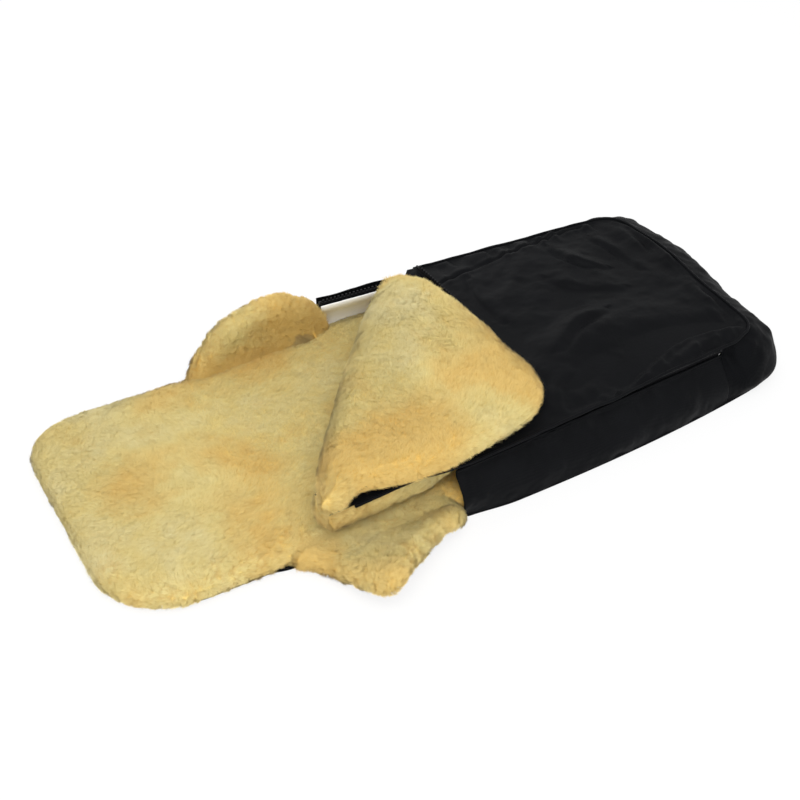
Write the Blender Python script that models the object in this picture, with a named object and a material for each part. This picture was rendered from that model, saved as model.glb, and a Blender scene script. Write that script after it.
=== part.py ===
"""Sheepskin footmuff for a pushchair, lying on its back with one corner of the cover folded open.

Metres. X runs from the head edge to the foot, Y to the far side, Z up from the surface it lies on.
"""

import math

import bmesh
import bpy
from mathutils import Matrix, Vector

# Lengths along the body
HEAD_X = -0.500
HEAD_TO_MOUTH = 0.443
MOUTH_TO_FOOT = 0.535
TOE_SETBACK = 0.056
TOE_SEAM = 0.025
WING_START = 0.216
WING_END_GAP = 0.002

# Half width of the head panel and the steps from it to the rest
HEAD_HALF = 0.198
WING_STEP = 0.005
WING_FLARE = 0.013
MOUTH_STEP = 0.003
FLOOR_DRAW = 0.039
FLOOR_DRAW_POWER = 2.5
WALL_LEAN = 0.019
ZIP_DRAW = 0.029

# Corner radii in plan
HEAD_RADIUS = 0.068
FLOOR_FOOT_RADIUS = 0.060
COVER_FOOT_RADIUS = 0.040

# Cloth and fleece
NYLON = 0.0022
FLOOR_NYLON = 0.003
LINING = 0.0008
SEAT = 0.0003
QUILT_GAP = 0.0008
FLEECE_BED = 0.027
FLEECE_COVER = 0.022
FLEECE_WING = 0.022
FLEECE_RIM = 0.007
FLEECE_ROUNDING = 0.024
FLEECE_HEM = 0.004
SHELL_TUCK = 0.007
FLEECE_SETBACK = 0.009

# Pouch walls
GUSSET_TOP_Z = 0.068
LINING_TOP_Z = 0.067
SIDE_BULGE = 0.010
TOE_BULGE = 0.043

# Cover panel
COVER_RISE = 0.008
CROWN_POWER = 4
CROWN_FADE = 0.4
COVER_LIP = 0.0015
PIPING_RADIUS = 0.002

# Folds in the cover's cloth: each end as shares of its length and half width, then height and reach
COVER_FOLDS = (
    ((0.54, -0.86), (0.94, -0.52), 0.0045, 0.024),
    ((0.77, -0.84), (0.90, -0.66), 0.0030, 0.017),
    ((0.50, -0.33), (0.70, -0.06), 0.0040, 0.026),
    ((0.76, 0.70), (0.84, 0.36), 0.0030, 0.020),
    ((0.48, 0.60), (0.45, 0.16), 0.0030, 0.017),
)

# Folded corner
OPEN_ZIP = 0.145
CREASE_ANGLE = math.radians(49)
MOUTH_LEAN = math.radians(3)
FLAP_EDGE_LEAN = math.radians(5)
FLAP_RADIUS = 0.045
CREASE_BLUNT = 0.012
FLEECE_BLUNT = 0.040
CREASE_GAP = 0.0015
FOLD_GAP = 0.0004

# Shoulder wings
WING_PEAK = (0.076, 0.117)
WING_SHOULDER = (0.206, 0.080)
WING_PEAK_RADIUS = 0.032
WING_SHOULDER_RADIUS = 0.030
HINGE_GAP = 0.0005
WING_FLEECE_GAP = 0.0175
NEAR_WING_TILT = math.radians(20)
FAR_WING_TILT = math.radians(90)

# Zip chain
CHAIN_Z = 0.078
TOOTH_PITCH = 0.006
TOOTH_WIDTH = 0.0026
TOOTH_REACH = 0.0012
CHAIN_HALF = 0.0036
CORD = 0.0012
CHAIN_THICKNESS = 0.0024
TAPE = 0.0008
TAPE_DEPTH = 0.0125
STOP_LENGTH = 0.004
STOP_GRIP = 0.0003

# Slider and pull
SLIDER_LENGTH = 0.012
SLIDER_PLATE = 0.0012
SLIDER_CLEARANCE = 0.0004
SLIDER_FLANGE = 0.0012
BAIL_SPAN = 0.0078
BAIL_POST = 0.0014
BAIL_WIDTH = 0.0016
BAIL_RISE = 0.0022
BAIL_BAR = 0.0010
PULL_LENGTH = 0.026
PULL_WIDTH = 0.007
PULL_THICKNESS = 0.0012
PULL_WINDOW = 0.0026
PULL_ARM = 0.0050
PULL_EYE = 0.0006

# Grid sizes
ARC_STEPS = 5
BED_ROWS = 26
BED_COLUMNS = 12
ZIP_CELLS = 10
CORNER_CELLS = 6
FOOT_CELLS = 6
GUSSET_LEVELS = 5
TOE_LEVELS = 6
COVER_COLUMNS = 24
COVER_ROWS = 18
PAD_CELLS = 12
FLAP_CELLS = 14
TURN = 0.012
SMOOTH_ANGLE = math.radians(40)
EMPTY_SIZE = 0.03

SIDES = (("near", -1), ("far", 1))

# Places worked out from the sizes
WING_HALF_HEAD = HEAD_HALF + WING_STEP
WING_HALF_MOUTH = WING_HALF_HEAD + WING_FLARE
FLOOR_HALF_MOUTH = WING_HALF_MOUTH + MOUTH_STEP
ZIP_HALF_MOUTH = FLOOR_HALF_MOUTH - WALL_LEAN
WING_LENGTH = HEAD_TO_MOUTH - WING_START - WING_END_GAP
MOUTH_X = HEAD_X + HEAD_TO_MOUTH
FOOT_X = MOUTH_X + MOUTH_TO_FOOT
COVER_FOOT_X = FOOT_X - TOE_SETBACK
ZIP_END_X = COVER_FOOT_X - TOE_SEAM - COVER_FOOT_RADIUS / 2
WING_X = HEAD_X + WING_START
TAPE_EDGE = CHAIN_HALF + SEAT
STOP_REACH = TAPE_EDGE + CHAIN_HALF
WALL_TOP_Z = CHAIN_Z + STOP_REACH
COVER_EDGE_Z = WALL_TOP_Z + SEAT + NYLON
HINGE_Z = COVER_EDGE_Z + COVER_RISE + FOLD_GAP
BED_Z = FLOOR_NYLON + SEAT
ZIP_TAPER = math.atan2(ZIP_DRAW, COVER_FOOT_X - MOUTH_X)
ZIP_LENGTH = (ZIP_END_X - MOUTH_X) / math.cos(ZIP_TAPER)
WING_HEADING = math.asin(WING_FLARE / WING_LENGTH)
SHELL_FACE = TAPE / 2 + SEAT
TAPE_FOOT_Z = CHAIN_Z - TAPE_EDGE - TAPE_DEPTH
PIPING_Z = WALL_TOP_Z + SEAT + PIPING_RADIUS
TOE_CELLS = CORNER_CELLS // 3


def lerp(a, b, t):
    """Blend two numbers or two vectors."""
    return a + (b - a) * t


def eased(t):
    """Smooth step from 0 to 1."""
    t = min(max(t, 0.0), 1.0)
    return t * t * (3 - 2 * t)


def spread(count):
    """Stations from 0 to 1 that crowd towards both ends."""
    return [(1 - math.cos(math.pi * i / count)) / 2 for i in range(count + 1)]


def even(count):
    """Even stations from 0 to 1."""
    return [i / count for i in range(count + 1)]


def zip_half(x):
    """Half width between the two zips at x."""
    return ZIP_HALF_MOUTH - math.tan(ZIP_TAPER) * (x - MOUTH_X)


def floor_half(x):
    """Half width of the pouch floor at x, drawn in towards the foot."""
    return FLOOR_HALF_MOUTH - FLOOR_DRAW * max((x - MOUTH_X) / MOUTH_TO_FOOT, 0.0) ** FLOOR_DRAW_POWER


def cover_top(x, y):
    """Height of the closed cover's outer face."""
    across = min(abs(y) / zip_half(x), 1.0)
    fade = eased((COVER_FOOT_X - x) / (COVER_FOOT_X - MOUTH_X) / CROWN_FADE)
    return COVER_EDGE_Z + COVER_RISE * (1 - across ** CROWN_POWER) * fade


def fold_rise(x, y):
    """How far the folds lift the cover's cloth off its padding."""
    here = Vector((x, y))
    rise = 0.0
    for start, end, height, reach in COVER_FOLDS:
        a, b = (Vector((lerp(MOUTH_X, COVER_FOOT_X, u), v * zip_half(lerp(MOUTH_X, COVER_FOOT_X, u))))
                for u, v in (start, end))
        t = min(max((here - a).dot(b - a) / (b - a).length_squared, 0.0), 1.0)
        away = (here - lerp(a, b, t)).length
        rise += height * math.sin(math.pi * (t + 1) / 3) * eased(1 - away / reach)
    return rise


def rounded_path(corners, radii, steps=ARC_STEPS):
    """Polyline through 2-D corners, each inner corner rounded by its radius."""
    points = [corners[0]]
    for before, corner, after, radius in zip(corners, corners[1:], corners[2:], radii):
        back = (before - corner).normalized()
        ahead = (after - corner).normalized()
        half_angle = back.angle(ahead) / 2
        reach = radius / math.tan(half_angle)
        centre = corner + (back + ahead).normalized() * radius / math.sin(half_angle)
        start = corner + back * reach - centre
        sweep = start.angle_signed(corner + ahead * reach - centre)
        for i in range(steps + 1):
            spoke = start.copy()
            spoke.rotate(Matrix.Rotation(-sweep * i / steps, 2))
            points.append(centre + spoke)
    points.append(corners[-1])
    return points


def along(path, stations):
    """Points at given fractions of a polyline's length."""
    lengths = [0.0]
    for a, b in zip(path, path[1:]):
        lengths.append(lengths[-1] + (b - a).length)
    points = []
    for station in stations:
        reach = station * lengths[-1]
        i = 0
        while i < len(path) - 2 and lengths[i + 1] < reach:
            i += 1
        points.append(lerp(path[i], path[i + 1], (reach - lengths[i]) / (lengths[i + 1] - lengths[i])))
    return points


def distance_to(point, outline):
    """Shortest distance from a 2-D point to a closed outline."""
    best = math.inf
    for a, b in zip(outline, outline[1:] + outline[:1]):
        side = b - a
        if side.length_squared == 0:
            continue
        t = min(max((point - a).dot(side) / side.length_squared, 0), 1)
        best = min(best, (point - a - side * t).length)
    return best


def border(rows):
    """The closed outline round a grid of points."""
    left = [row[0] for row in rows]
    right = [row[-1] for row in rows]
    return rows[0] + right[1:] + rows[-1][-2::-1] + left[-2:0:-1]


def material(name, colour, roughness, metallic=0.0):
    """Principled material that several pieces can share."""
    made = bpy.data.materials.get(name)
    if made is None:
        made = bpy.data.materials.new(name)
        made.use_nodes = True
        shader = made.node_tree.nodes["Principled BSDF"]
        shader.inputs["Base Color"].default_value = (*colour, 1.0)
        shader.inputs["Roughness"].default_value = roughness
        shader.inputs["Metallic"].default_value = metallic
    return made


def finish(name, mesh_builder, surface, parent=None):
    """Turn a bmesh into a named object with one material."""
    bmesh.ops.recalc_face_normals(mesh_builder, faces=mesh_builder.faces)
    mesh = bpy.data.meshes.new(name)
    mesh_builder.to_mesh(mesh)
    mesh_builder.free()
    mesh.materials.append(surface)
    piece = bpy.data.objects.new(name, mesh)
    bpy.context.scene.collection.objects.link(piece)
    piece.parent = parent
    return piece


def slab(name, top, bottom, surface, parent=None):
    """Closed solid between two grids of points with the same rows."""
    builder = bmesh.new()
    layers = [[[builder.verts.new(p) for p in row] for row in rows] for rows in (top, bottom)]
    for grid in layers:
        for row, following in zip(grid, grid[1:]):
            for i in range(len(row) - 1):
                builder.faces.new((row[i], row[i + 1], following[i + 1], following[i]))
    upper = border(layers[0])
    lower = border(layers[1])
    for i in range(len(upper)):
        builder.faces.new((upper[i - 1], upper[i], lower[i], lower[i - 1]))
    piece = finish(name, builder, surface, parent)
    piece.data.shade_smooth()
    piece.data.set_sharp_from_angle(angle=SMOOTH_ANGLE)
    return piece


def prism(name, outline, axis_length, surface, parent=None):
    """Solid from a (y, z) outline extruded along X."""
    builder = bmesh.new()
    start = [builder.verts.new((0, y, z)) for y, z in outline]
    end = [builder.verts.new((axis_length, y, z)) for y, z in outline]
    builder.faces.new(start)
    builder.faces.new(end)
    for i in range(len(outline)):
        builder.faces.new((start[i - 1], start[i], end[i], end[i - 1]))
    return finish(name, builder, surface, parent)


def plate(name, outline, low, high, surface, parent=None, plane="xz"):
    """Solid from an outline in the XZ or XY plane, between two values of the third axis."""
    builder = bmesh.new()
    loops = []
    for level in (low, high):
        if plane == "xz":
            loops.append([builder.verts.new((a, level, b)) for a, b in outline])
        else:
            loops.append([builder.verts.new((a, b, level)) for a, b in outline])
        builder.faces.new(loops[-1])
    for i in range(len(outline)):
        builder.faces.new((loops[0][i - 1], loops[0][i], loops[1][i], loops[1][i - 1]))
    return finish(name, builder, surface, parent)


def cord(name, points, radius, surface, parent=None):
    """Round cord along a line of points."""
    curve = bpy.data.curves.new(name, "CURVE")
    curve.dimensions = "3D"
    curve.bevel_depth = radius
    curve.bevel_resolution = 1
    curve.use_fill_caps = True
    spline = curve.splines.new("POLY")
    spline.points.add(len(points) - 1)
    for control, point in zip(spline.points, points):
        control.co = (*point, 1.0)
    curve.materials.append(surface)
    piece = bpy.data.objects.new(name, curve)
    bpy.context.scene.collection.objects.link(piece)
    piece.parent = parent
    return piece


def nylon():
    return material("black_nylon", (0.010, 0.010, 0.011), 0.55)


def fleece():
    return material("golden_fleece", (0.68, 0.50, 0.22), 0.95)


def satin():
    return material("white_lining", (0.75, 0.73, 0.68), 0.60)


def tape():
    return material("zip_tape", (0.012, 0.012, 0.013), 0.80)


def zip_plastic():
    return material("zip_teeth", (0.015, 0.015, 0.016), 0.40)


def zip_metal():
    return material("zip_metal", (0.35, 0.35, 0.36), 0.30, 1.0)


def hinge(name, place, turn):
    """Empty on a joint axis that carries the moving pieces."""
    empty = bpy.data.objects.new(name, None)
    empty.empty_display_size = EMPTY_SIZE
    empty.matrix_world = Matrix.Translation(place) @ turn
    bpy.context.scene.collection.objects.link(empty)
    return empty


# Back


def body_rows(inset_head, inset_wing, inset_pouch):
    """Rows of (x, half width) for the back panel or the bed, with rounded ends."""
    start = HEAD_X + inset_head
    end = FOOT_X - inset_pouch
    wing_end = WING_X + WING_LENGTH * math.cos(WING_HEADING)
    wing_gap = HINGE_GAP + inset_wing
    knots = [(start, HEAD_HALF - inset_head), (WING_X - TURN, HEAD_HALF - inset_head),
             (WING_X, WING_HALF_HEAD - wing_gap), (wing_end, WING_HALF_MOUTH - wing_gap)]
    turns = [WING_X - TURN, WING_X, wing_end, MOUTH_X]
    xs = [lerp(start, end, station) for station in spread(BED_ROWS)]
    xs = [x for x in xs if min(abs(x - turn) for turn in turns) > TURN / 2]
    rows = []
    for x in sorted(xs + turns):
        if x > wing_end:
            half = floor_half(x) - inset_pouch
        else:
            i = max(k for k in range(3) if knots[k][0] <= x)
            (low_x, low_half), (high_x, high_half) = knots[i:i + 2]
            half = lerp(low_half, high_half, (x - low_x) / (high_x - low_x))
        for radius, reach in ((HEAD_RADIUS, x - start), (FLOOR_FOOT_RADIUS, end - x)):
            if reach < radius:
                half -= radius - math.sqrt(max(radius ** 2 - (radius - reach) ** 2, 0.0))
        rows.append((x, half))
    return rows


def build_back():
    rows = body_rows(SHELL_TUCK, 0.0, 0.0)
    outline = [(x, -half) for x, half in rows] + [(x, half) for x, half in reversed(rows)]
    plate("back_shell", outline, 0.0, FLOOR_NYLON, nylon(), plane="xy")
    wall_depth = NYLON + 2 * SHELL_FACE + LINING + 2 * SEAT
    rows = body_rows(0.0, WING_FLEECE_GAP, wall_depth)
    grid = [[Vector((x, lerp(-half, half, v))) for v in spread(BED_COLUMNS)] for x, half in rows]
    fleece_pad("back_sheepskin", grid, lambda x, y: BED_Z, FLEECE_BED, 1)


def fleece_pad(name, rows, base, depth, direction, parent=None):
    """Fleece on its skin: full depth inside, rounded down to a thin rim."""
    outline = border(rows)
    skin = []
    pile = []
    for row in rows:
        skin.append([])
        pile.append([])
        for point in row:
            reach = min(distance_to(point, outline) / FLEECE_ROUNDING, 1.0)
            height = FLEECE_RIM + (depth - FLEECE_RIM) * math.sqrt(1 - (1 - reach) ** 2)
            level = base(point.x, point.y)
            skin[-1].append((point.x, point.y, level))
            pile[-1].append((point.x, point.y, level + direction * height))
    return slab(name, pile, skin, fleece(), parent)


# Pouch walls


def wall_stations():
    """Stations round the pouch: floor point, top point, outward normal and toe share."""
    def top_half(x):
        return zip_half(x) + SHELL_FACE + NYLON

    paths = []
    for half, foot_x, radius in ((floor_half, FOOT_X - SEAT, FLOOR_FOOT_RADIUS),
                                 (top_half, COVER_FOOT_X, COVER_FOOT_RADIUS)):
        corner_x = foot_x - radius
        xs = [lerp(MOUTH_X, ZIP_END_X, share) for share in even(ZIP_CELLS)]
        xs += [lerp(ZIP_END_X, corner_x, share) for share in even(TOE_CELLS)[1:-1]]
        points = [Vector((x, -half(x))) for x in xs]
        for share in even(CORNER_CELLS):
            turn = math.pi / 2 * share
            y = -half(corner_x) + radius - radius * math.cos(turn)
            points.append(Vector((corner_x + radius * math.sin(turn), y)))
        mirrored = [Vector((p.x, -p.y)) for p in reversed(points)]
        reach = -points[-1].y
        points += [Vector((foot_x, lerp(-reach, reach, share))) for share in even(FOOT_CELLS)[1:-1]]
        paths.append(points + mirrored)
    floor, top = paths
    stations = []
    for i in range(len(top)):
        heading = (top[min(i + 1, len(top) - 1)] - top[max(i - 1, 0)]).normalized()
        outward = Vector((heading.y, -heading.x))
        edge = min(i, len(top) - 1 - i)
        toe = eased((edge - ZIP_CELLS - TOE_CELLS + 1) / (CORNER_CELLS + 1))
        stations.append((floor[i], top[i], outward, toe))
    return stations


def wall_point(station, z, inward):
    """Point of the pouch wall at a height, set in from its outer face."""
    floor, top, outward, toe = station
    side_share = min((z - BED_Z) / (TAPE_FOOT_Z - BED_Z), 1.0)
    toe_share = (z - BED_Z) / (WALL_TOP_Z - BED_Z)
    side = lerp(floor, top, side_share) + outward * SIDE_BULGE * math.sin(math.pi * side_share)
    end = lerp(floor, top, toe_share) + outward * TOE_BULGE * math.sin(math.pi * toe_share)
    point = lerp(side, end, toe) - outward * inward
    return Vector((point.x, point.y, z))


def wall_panel(name, stations, high, inward, depth, levels, surface):
    """Stretch of the pouch wall from the bed up to a height, upright where the tape is sewn in."""
    heights = [lerp(BED_Z, TAPE_FOOT_Z, level) for level in even(levels)]
    heights += [z for z in (LINING_TOP_Z, GUSSET_TOP_Z, WALL_TOP_Z) if z <= high]
    outer = [[wall_point(s, z, inward) for z in heights] for s in stations]
    inner = [[wall_point(s, z, inward + depth) for z in heights] for s in stations]
    return slab(name, outer, inner, surface)


def pushed(stations, distance):
    """Stations whose first and last ends are drawn in along the wall."""
    drawn = list(stations)
    for end, following in ((0, 1), (-1, -2)):
        floor, top, outward, toe = drawn[end]
        step = (stations[following][1] - top).normalized() * distance
        drawn[end] = (floor + step, top + step, outward, toe)
    return drawn


def build_walls():
    stations = wall_stations()
    inset = NYLON + 2 * SHELL_FACE
    gussets = {-1: stations[:ZIP_CELLS + 1], 1: stations[-ZIP_CELLS - 1:]}
    for label, side in SIDES:
        stretch = pushed(gussets[side], SEAT / 2)
        wall_panel(label + "_gusset_shell", stretch, GUSSET_TOP_Z, 0.0, NYLON, GUSSET_LEVELS, nylon())
        wall_panel(label + "_gusset_lining", stretch, LINING_TOP_Z, inset, LINING, GUSSET_LEVELS, satin())
    toe = pushed(stations[ZIP_CELLS:-ZIP_CELLS], SEAT / 2)
    wall_panel("foot_wall_shell", toe, WALL_TOP_Z, 0.0, NYLON, TOE_LEVELS, nylon())
    wall_panel("foot_wall_lining", toe, LINING_TOP_Z, inset, LINING, TOE_LEVELS, satin())


# Cover


def crease_point(y, offset):
    """X of the crease line at y, moved towards the foot by offset."""
    anchor = MOUTH_X + OPEN_ZIP * math.cos(ZIP_TAPER)
    return anchor + (y - zip_half(anchor)) / math.tan(CREASE_ANGLE) + offset / math.sin(CREASE_ANGLE)


def crease_ends():
    """Near and far ends of the crease, on the two zip lines."""
    far_x = MOUTH_X + OPEN_ZIP * math.cos(ZIP_TAPER)
    far = Vector((far_x, zip_half(far_x)))
    slope = math.tan(CREASE_ANGLE)
    taper = math.tan(ZIP_TAPER)
    near_x = (-ZIP_HALF_MOUTH - taper * MOUTH_X - far.y + slope * far.x) / (slope - taper)
    return Vector((near_x, -zip_half(near_x))), far


def cover_rows(edge, start, across, lengthwise):
    """Plan grid of the cover from the crease to the foot seam, set in from its edges."""
    end = COVER_FOOT_X - edge
    radius = COVER_FOOT_RADIUS
    slope = math.tan(CREASE_ANGLE)
    taper = math.tan(ZIP_TAPER)
    rows = []
    for v in across:
        share = 2 * v - 1
        base = crease_point(0.0, start)
        width = zip_half(0.0) - edge
        crease_x = (share * width + slope * base) / (slope + share * taper)
        row = []
        for u in lengthwise:
            x = lerp(crease_x, end - radius, u)
            row.append(Vector((x, share * (zip_half(x) - edge))))
        for i in range(1, ARC_STEPS + 1):
            turn = math.pi / 2 * i / ARC_STEPS
            x = end - radius + radius * math.sin(turn)
            half = zip_half(end - radius) - edge - radius + radius * math.cos(turn)
            row.append(Vector((x, share * half)))
        rows.append(row)
    return rows


def skin_level(x, y):
    """Height of the skin side of the cover's fleece."""
    return cover_top(x, y) - NYLON - QUILT_GAP


def build_cover():
    rows = cover_rows(-COVER_LIP, CREASE_GAP, spread(COVER_COLUMNS), even(COVER_ROWS))
    outer = [[Vector((p.x, p.y, cover_top(p.x, p.y) + fold_rise(p.x, p.y))) for p in row] for row in rows]
    inner = [[p - Vector((0, 0, NYLON)) for p in row] for row in outer]
    slab("cover_shell", outer, inner, nylon())
    rows = cover_rows(FLEECE_SETBACK, CREASE_GAP, spread(PAD_CELLS), spread(PAD_CELLS))
    fleece_pad("cover_sheepskin", rows, skin_level, FLEECE_COVER, -1)
    cord("cover_piping", piping_route(), PIPING_RADIUS, nylon())


def piping_route():
    """Line of the corded seam: near edge, round the foot seam and back to the crease."""
    out = COVER_LIP + SEAT + PIPING_RADIUS
    near, far = crease_ends()
    end = COVER_FOOT_X + out
    corner = zip_half(end) + out
    start = near + Vector((CREASE_BLUNT, -out))
    finish_x = far.x + CREASE_BLUNT
    last = Vector((finish_x, zip_half(finish_x) + out))
    corners = [start, Vector((end, -corner)), Vector((end, corner)), last]
    path = rounded_path(corners, (COVER_FOOT_RADIUS, COVER_FOOT_RADIUS))
    return [(p.x, p.y, PIPING_Z) for p in path]


# Folded corner


def flap_outline(inset, far_blunt):
    """Crease line and outer edge of the closed corner, set in from its edges."""
    near, far = crease_ends()
    crease = Vector((math.cos(CREASE_ANGLE), math.sin(CREASE_ANGLE)))
    away = Vector((-crease.y, crease.x))
    mouth = Vector((-math.sin(MOUTH_LEAN), math.cos(MOUTH_LEAN)))
    edge = Vector((-math.cos(FLAP_EDGE_LEAN), -math.sin(FLAP_EDGE_LEAN)))
    near += crease * (inset / math.sin(CREASE_ANGLE))
    far -= crease * (inset / math.sin(CREASE_ANGLE))
    span = far - near
    reach = (span.x * edge.y - span.y * edge.x) / (mouth.x * edge.y - mouth.y * edge.x)
    tip = near + mouth * reach
    outer = rounded_path([near + mouth * CREASE_BLUNT, tip, far + edge * far_blunt], (FLAP_RADIUS,))
    base = [near + crease * CREASE_BLUNT + away * CREASE_GAP, far - crease * far_blunt + away * CREASE_GAP]
    return base, outer


def flap_rows(inset, far_blunt, lengthwise, across):
    """Plan grid of the closed corner, from the crease to its outer edge."""
    base, outer = flap_outline(inset, far_blunt)
    edge = along(outer, lengthwise)
    return [[lerp(lerp(base[0], base[1], t), edge[i], k) for k in across] for i, t in enumerate(lengthwise)]


def build_flap():
    near, far = crease_ends()
    crease = Vector((math.cos(CREASE_ANGLE), math.sin(CREASE_ANGLE), 0))
    place = Vector(((near.x + far.x) / 2, (near.y + far.y) / 2, HINGE_Z))
    carrier = hinge("flap_hinge", place, Matrix.Rotation(math.pi, 4, crease))
    rows = flap_rows(0.0, CREASE_BLUNT, spread(FLAP_CELLS), spread(FLAP_CELLS // 2))
    outer = [[Vector((p.x, p.y, cover_top(p.x, p.y))) - place for p in row] for row in rows]
    inner = [[p - Vector((0, 0, NYLON)) for p in row] for row in outer]
    slab("flap_shell", outer, inner, nylon(), carrier)
    rim = flap_outline(-SEAT - PIPING_RADIUS, CREASE_BLUNT)[1]
    cord("flap_piping", [Vector((p.x, p.y, PIPING_Z)) - place for p in rim], PIPING_RADIUS, nylon(), carrier)
    rows = flap_rows(FLEECE_HEM, FLEECE_BLUNT, spread(PAD_CELLS), spread(PAD_CELLS))
    local = [[p - place.xy for p in row] for row in rows]
    fleece_pad("flap_sheepskin", local, lambda x, y: skin_level(x + place.x, y + place.y) - place.z,
               FLEECE_COVER, -1, carrier)


# Wings


def wing_rows(inset, base_gap, lengthwise, across):
    """Plan grid of a wing laid flat: X along its hinge, Y outward."""
    start = Vector((inset + base_gap, base_gap))
    end = Vector((WING_LENGTH - inset, base_gap))
    peak = Vector((WING_PEAK[0], WING_PEAK[1] - inset))
    shoulder = Vector((WING_SHOULDER[0] - inset, WING_SHOULDER[1] - inset))
    rise = Vector((0.0, FLEECE_RIM))
    outer = rounded_path([start + rise, peak, shoulder, end + rise], (WING_PEAK_RADIUS, WING_SHOULDER_RADIUS))
    edge = along(outer, lengthwise)
    return [[lerp(lerp(start, end, t), edge[i], k) for k in across] for i, t in enumerate(lengthwise)]


def build_wings():
    for label, side in SIDES:
        tilt = NEAR_WING_TILT if side < 0 else FAR_WING_TILT
        turn = Matrix.Rotation(side * WING_HEADING, 4, "Z") @ Matrix.Rotation(side * tilt, 4, "X")
        carrier = hinge(label + "_wing_hinge", Vector((WING_X, side * WING_HALF_HEAD, FLOOR_NYLON)), turn)
        rows = wing_rows(SHELL_TUCK, HINGE_GAP, spread(PAD_CELLS), spread(PAD_CELLS // 3))
        top = [[Vector((p.x, side * p.y, 0.0)) for p in row] for row in rows]
        bottom = [[p - Vector((0, 0, NYLON)) for p in row] for row in top]
        slab(label + "_wing_shell", top, bottom, nylon(), carrier)
        rows = wing_rows(0.0, FLEECE_RIM, spread(PAD_CELLS), spread(PAD_CELLS * 2 // 3))
        rows = [[Vector((p.x, side * p.y)) for p in row] for row in rows]
        fleece_pad(label + "_wing_sheepskin", rows, lambda x, y: SEAT, FLEECE_WING, 1, carrier)


# Zips


def zip_frame(side, distance=0.0):
    """Frame on a zip line: X along it towards the foot, Z up, Y to the far side."""
    start = Vector((MOUTH_X, side * ZIP_HALF_MOUTH, CHAIN_Z))
    turn = Matrix.Rotation(-side * ZIP_TAPER, 4, "Z")
    return Matrix.Translation(start) @ turn @ Matrix.Translation((distance, 0, 0))


def comb(start, end, up, phase):
    """Outline of one row of teeth on its cord; up is 1 where the teeth point up."""
    outline = [(start, -CHAIN_HALF * up), (end, -CHAIN_HALF * up), (end, (CORD - CHAIN_HALF) * up)]
    count = int((end - start - phase) / TOOTH_PITCH)
    teeth = []
    for i in range(count):
        left = start + phase + TOOTH_PITCH * i
        teeth += [(left, (CORD - CHAIN_HALF) * up), (left, TOOTH_REACH * up),
                  (left + TOOTH_WIDTH, TOOTH_REACH * up), (left + TOOTH_WIDTH, (CORD - CHAIN_HALF) * up)]
    outline += reversed(teeth)
    outline.append((start, (CORD - CHAIN_HALF) * up))
    return outline


def zip_half_set(prefix, place, start, end, up, tape_end, parent=None):
    """Tape and teeth of one half of a zip."""
    phase = TOOTH_PITCH / 4 if up > 0 else TOOTH_PITCH * 3 / 4
    teeth = plate(prefix + "_teeth", comb(start, end, up, phase), -CHAIN_THICKNESS / 2, CHAIN_THICKNESS / 2,
                  zip_plastic(), parent)
    edge = -TAPE_EDGE * up
    strip = plate(prefix + "_tape", [(start, edge), (end, edge), (end, tape_end), (start, tape_end)],
                  -TAPE / 2, TAPE / 2, tape(), parent)
    for piece in (teeth, strip):
        piece.matrix_local = place
    return teeth, strip


def top_stop(name, place, up, parent=None):
    """Clip over the tape's edge at the end of one half of the chain."""
    outer = CHAIN_THICKNESS / 2 + SEAT
    slot = TAPE / 2 + STOP_GRIP
    foot = -STOP_REACH * up
    crown = -SEAT * up
    root = (SEAT - TAPE_EDGE) * up
    outline = [(-outer, foot), (-slot, foot), (-slot, root), (slot, root), (slot, foot), (outer, foot),
               (outer, crown), (-outer, crown)]
    clip = prism(name, outline, STOP_LENGTH, zip_metal(), parent=parent)
    clip.matrix_local = place
    return clip


def bottom_stop(name, place):
    """Clip over both tapes at the foot end of the chain."""
    outer = CHAIN_THICKNESS / 2 + SEAT
    slot = TAPE / 2 + STOP_GRIP
    reach = TAPE_EDGE + CORD
    root = CORD
    outline = [(-outer, -reach), (-slot, -reach), (-slot, -root), (slot, -root), (slot, -reach),
               (outer, -reach), (outer, reach), (slot, reach), (slot, root), (-slot, root), (-slot, reach),
               (-outer, reach)]
    clip = prism(name, outline, STOP_LENGTH, zip_metal())
    clip.matrix_local = place
    return clip


def build_zips():
    lip = WALL_TOP_Z - CHAIN_Z
    teeth_end = ZIP_LENGTH - STOP_LENGTH - 2 * SEAT
    for label, side in SIDES:
        frame = zip_frame(side)
        opened = OPEN_ZIP + TOOTH_PITCH if side > 0 else 0.0
        start = STOP_LENGTH + SEAT
        first = start + TOOTH_PITCH * math.ceil(opened / TOOTH_PITCH)
        zip_half_set(label + "_gusset", frame, start, teeth_end, 1, -TAPE_EDGE - TAPE_DEPTH)
        zip_half_set(label + "_cover", frame, first, teeth_end, -1, lip)
        top_stop(label + "_gusset_stop", frame, 1)
        bottom_stop(label + "_bottom_stop", zip_frame(side, teeth_end + SEAT))
        if side < 0:
            top_stop(label + "_cover_stop", frame, -1)


# Sliders


def slider_outline(side, face):
    """Channel section of one slider plate; face is 1 on the outer plate."""
    near_tape = TAPE / 2 + SLIDER_CLEARANCE
    floor = CHAIN_THICKNESS / 2 + SEAT
    back = floor + SLIDER_PLATE
    inner = CHAIN_HALF + SLIDER_CLEARANCE
    outer = inner + SLIDER_FLANGE
    section = [(near_tape, -outer), (back, -outer), (back, outer), (near_tape, outer),
               (near_tape, inner), (floor, inner), (floor, -inner), (near_tape, -inner)]
    return [(side * face * y, z) for y, z in section], back


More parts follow.
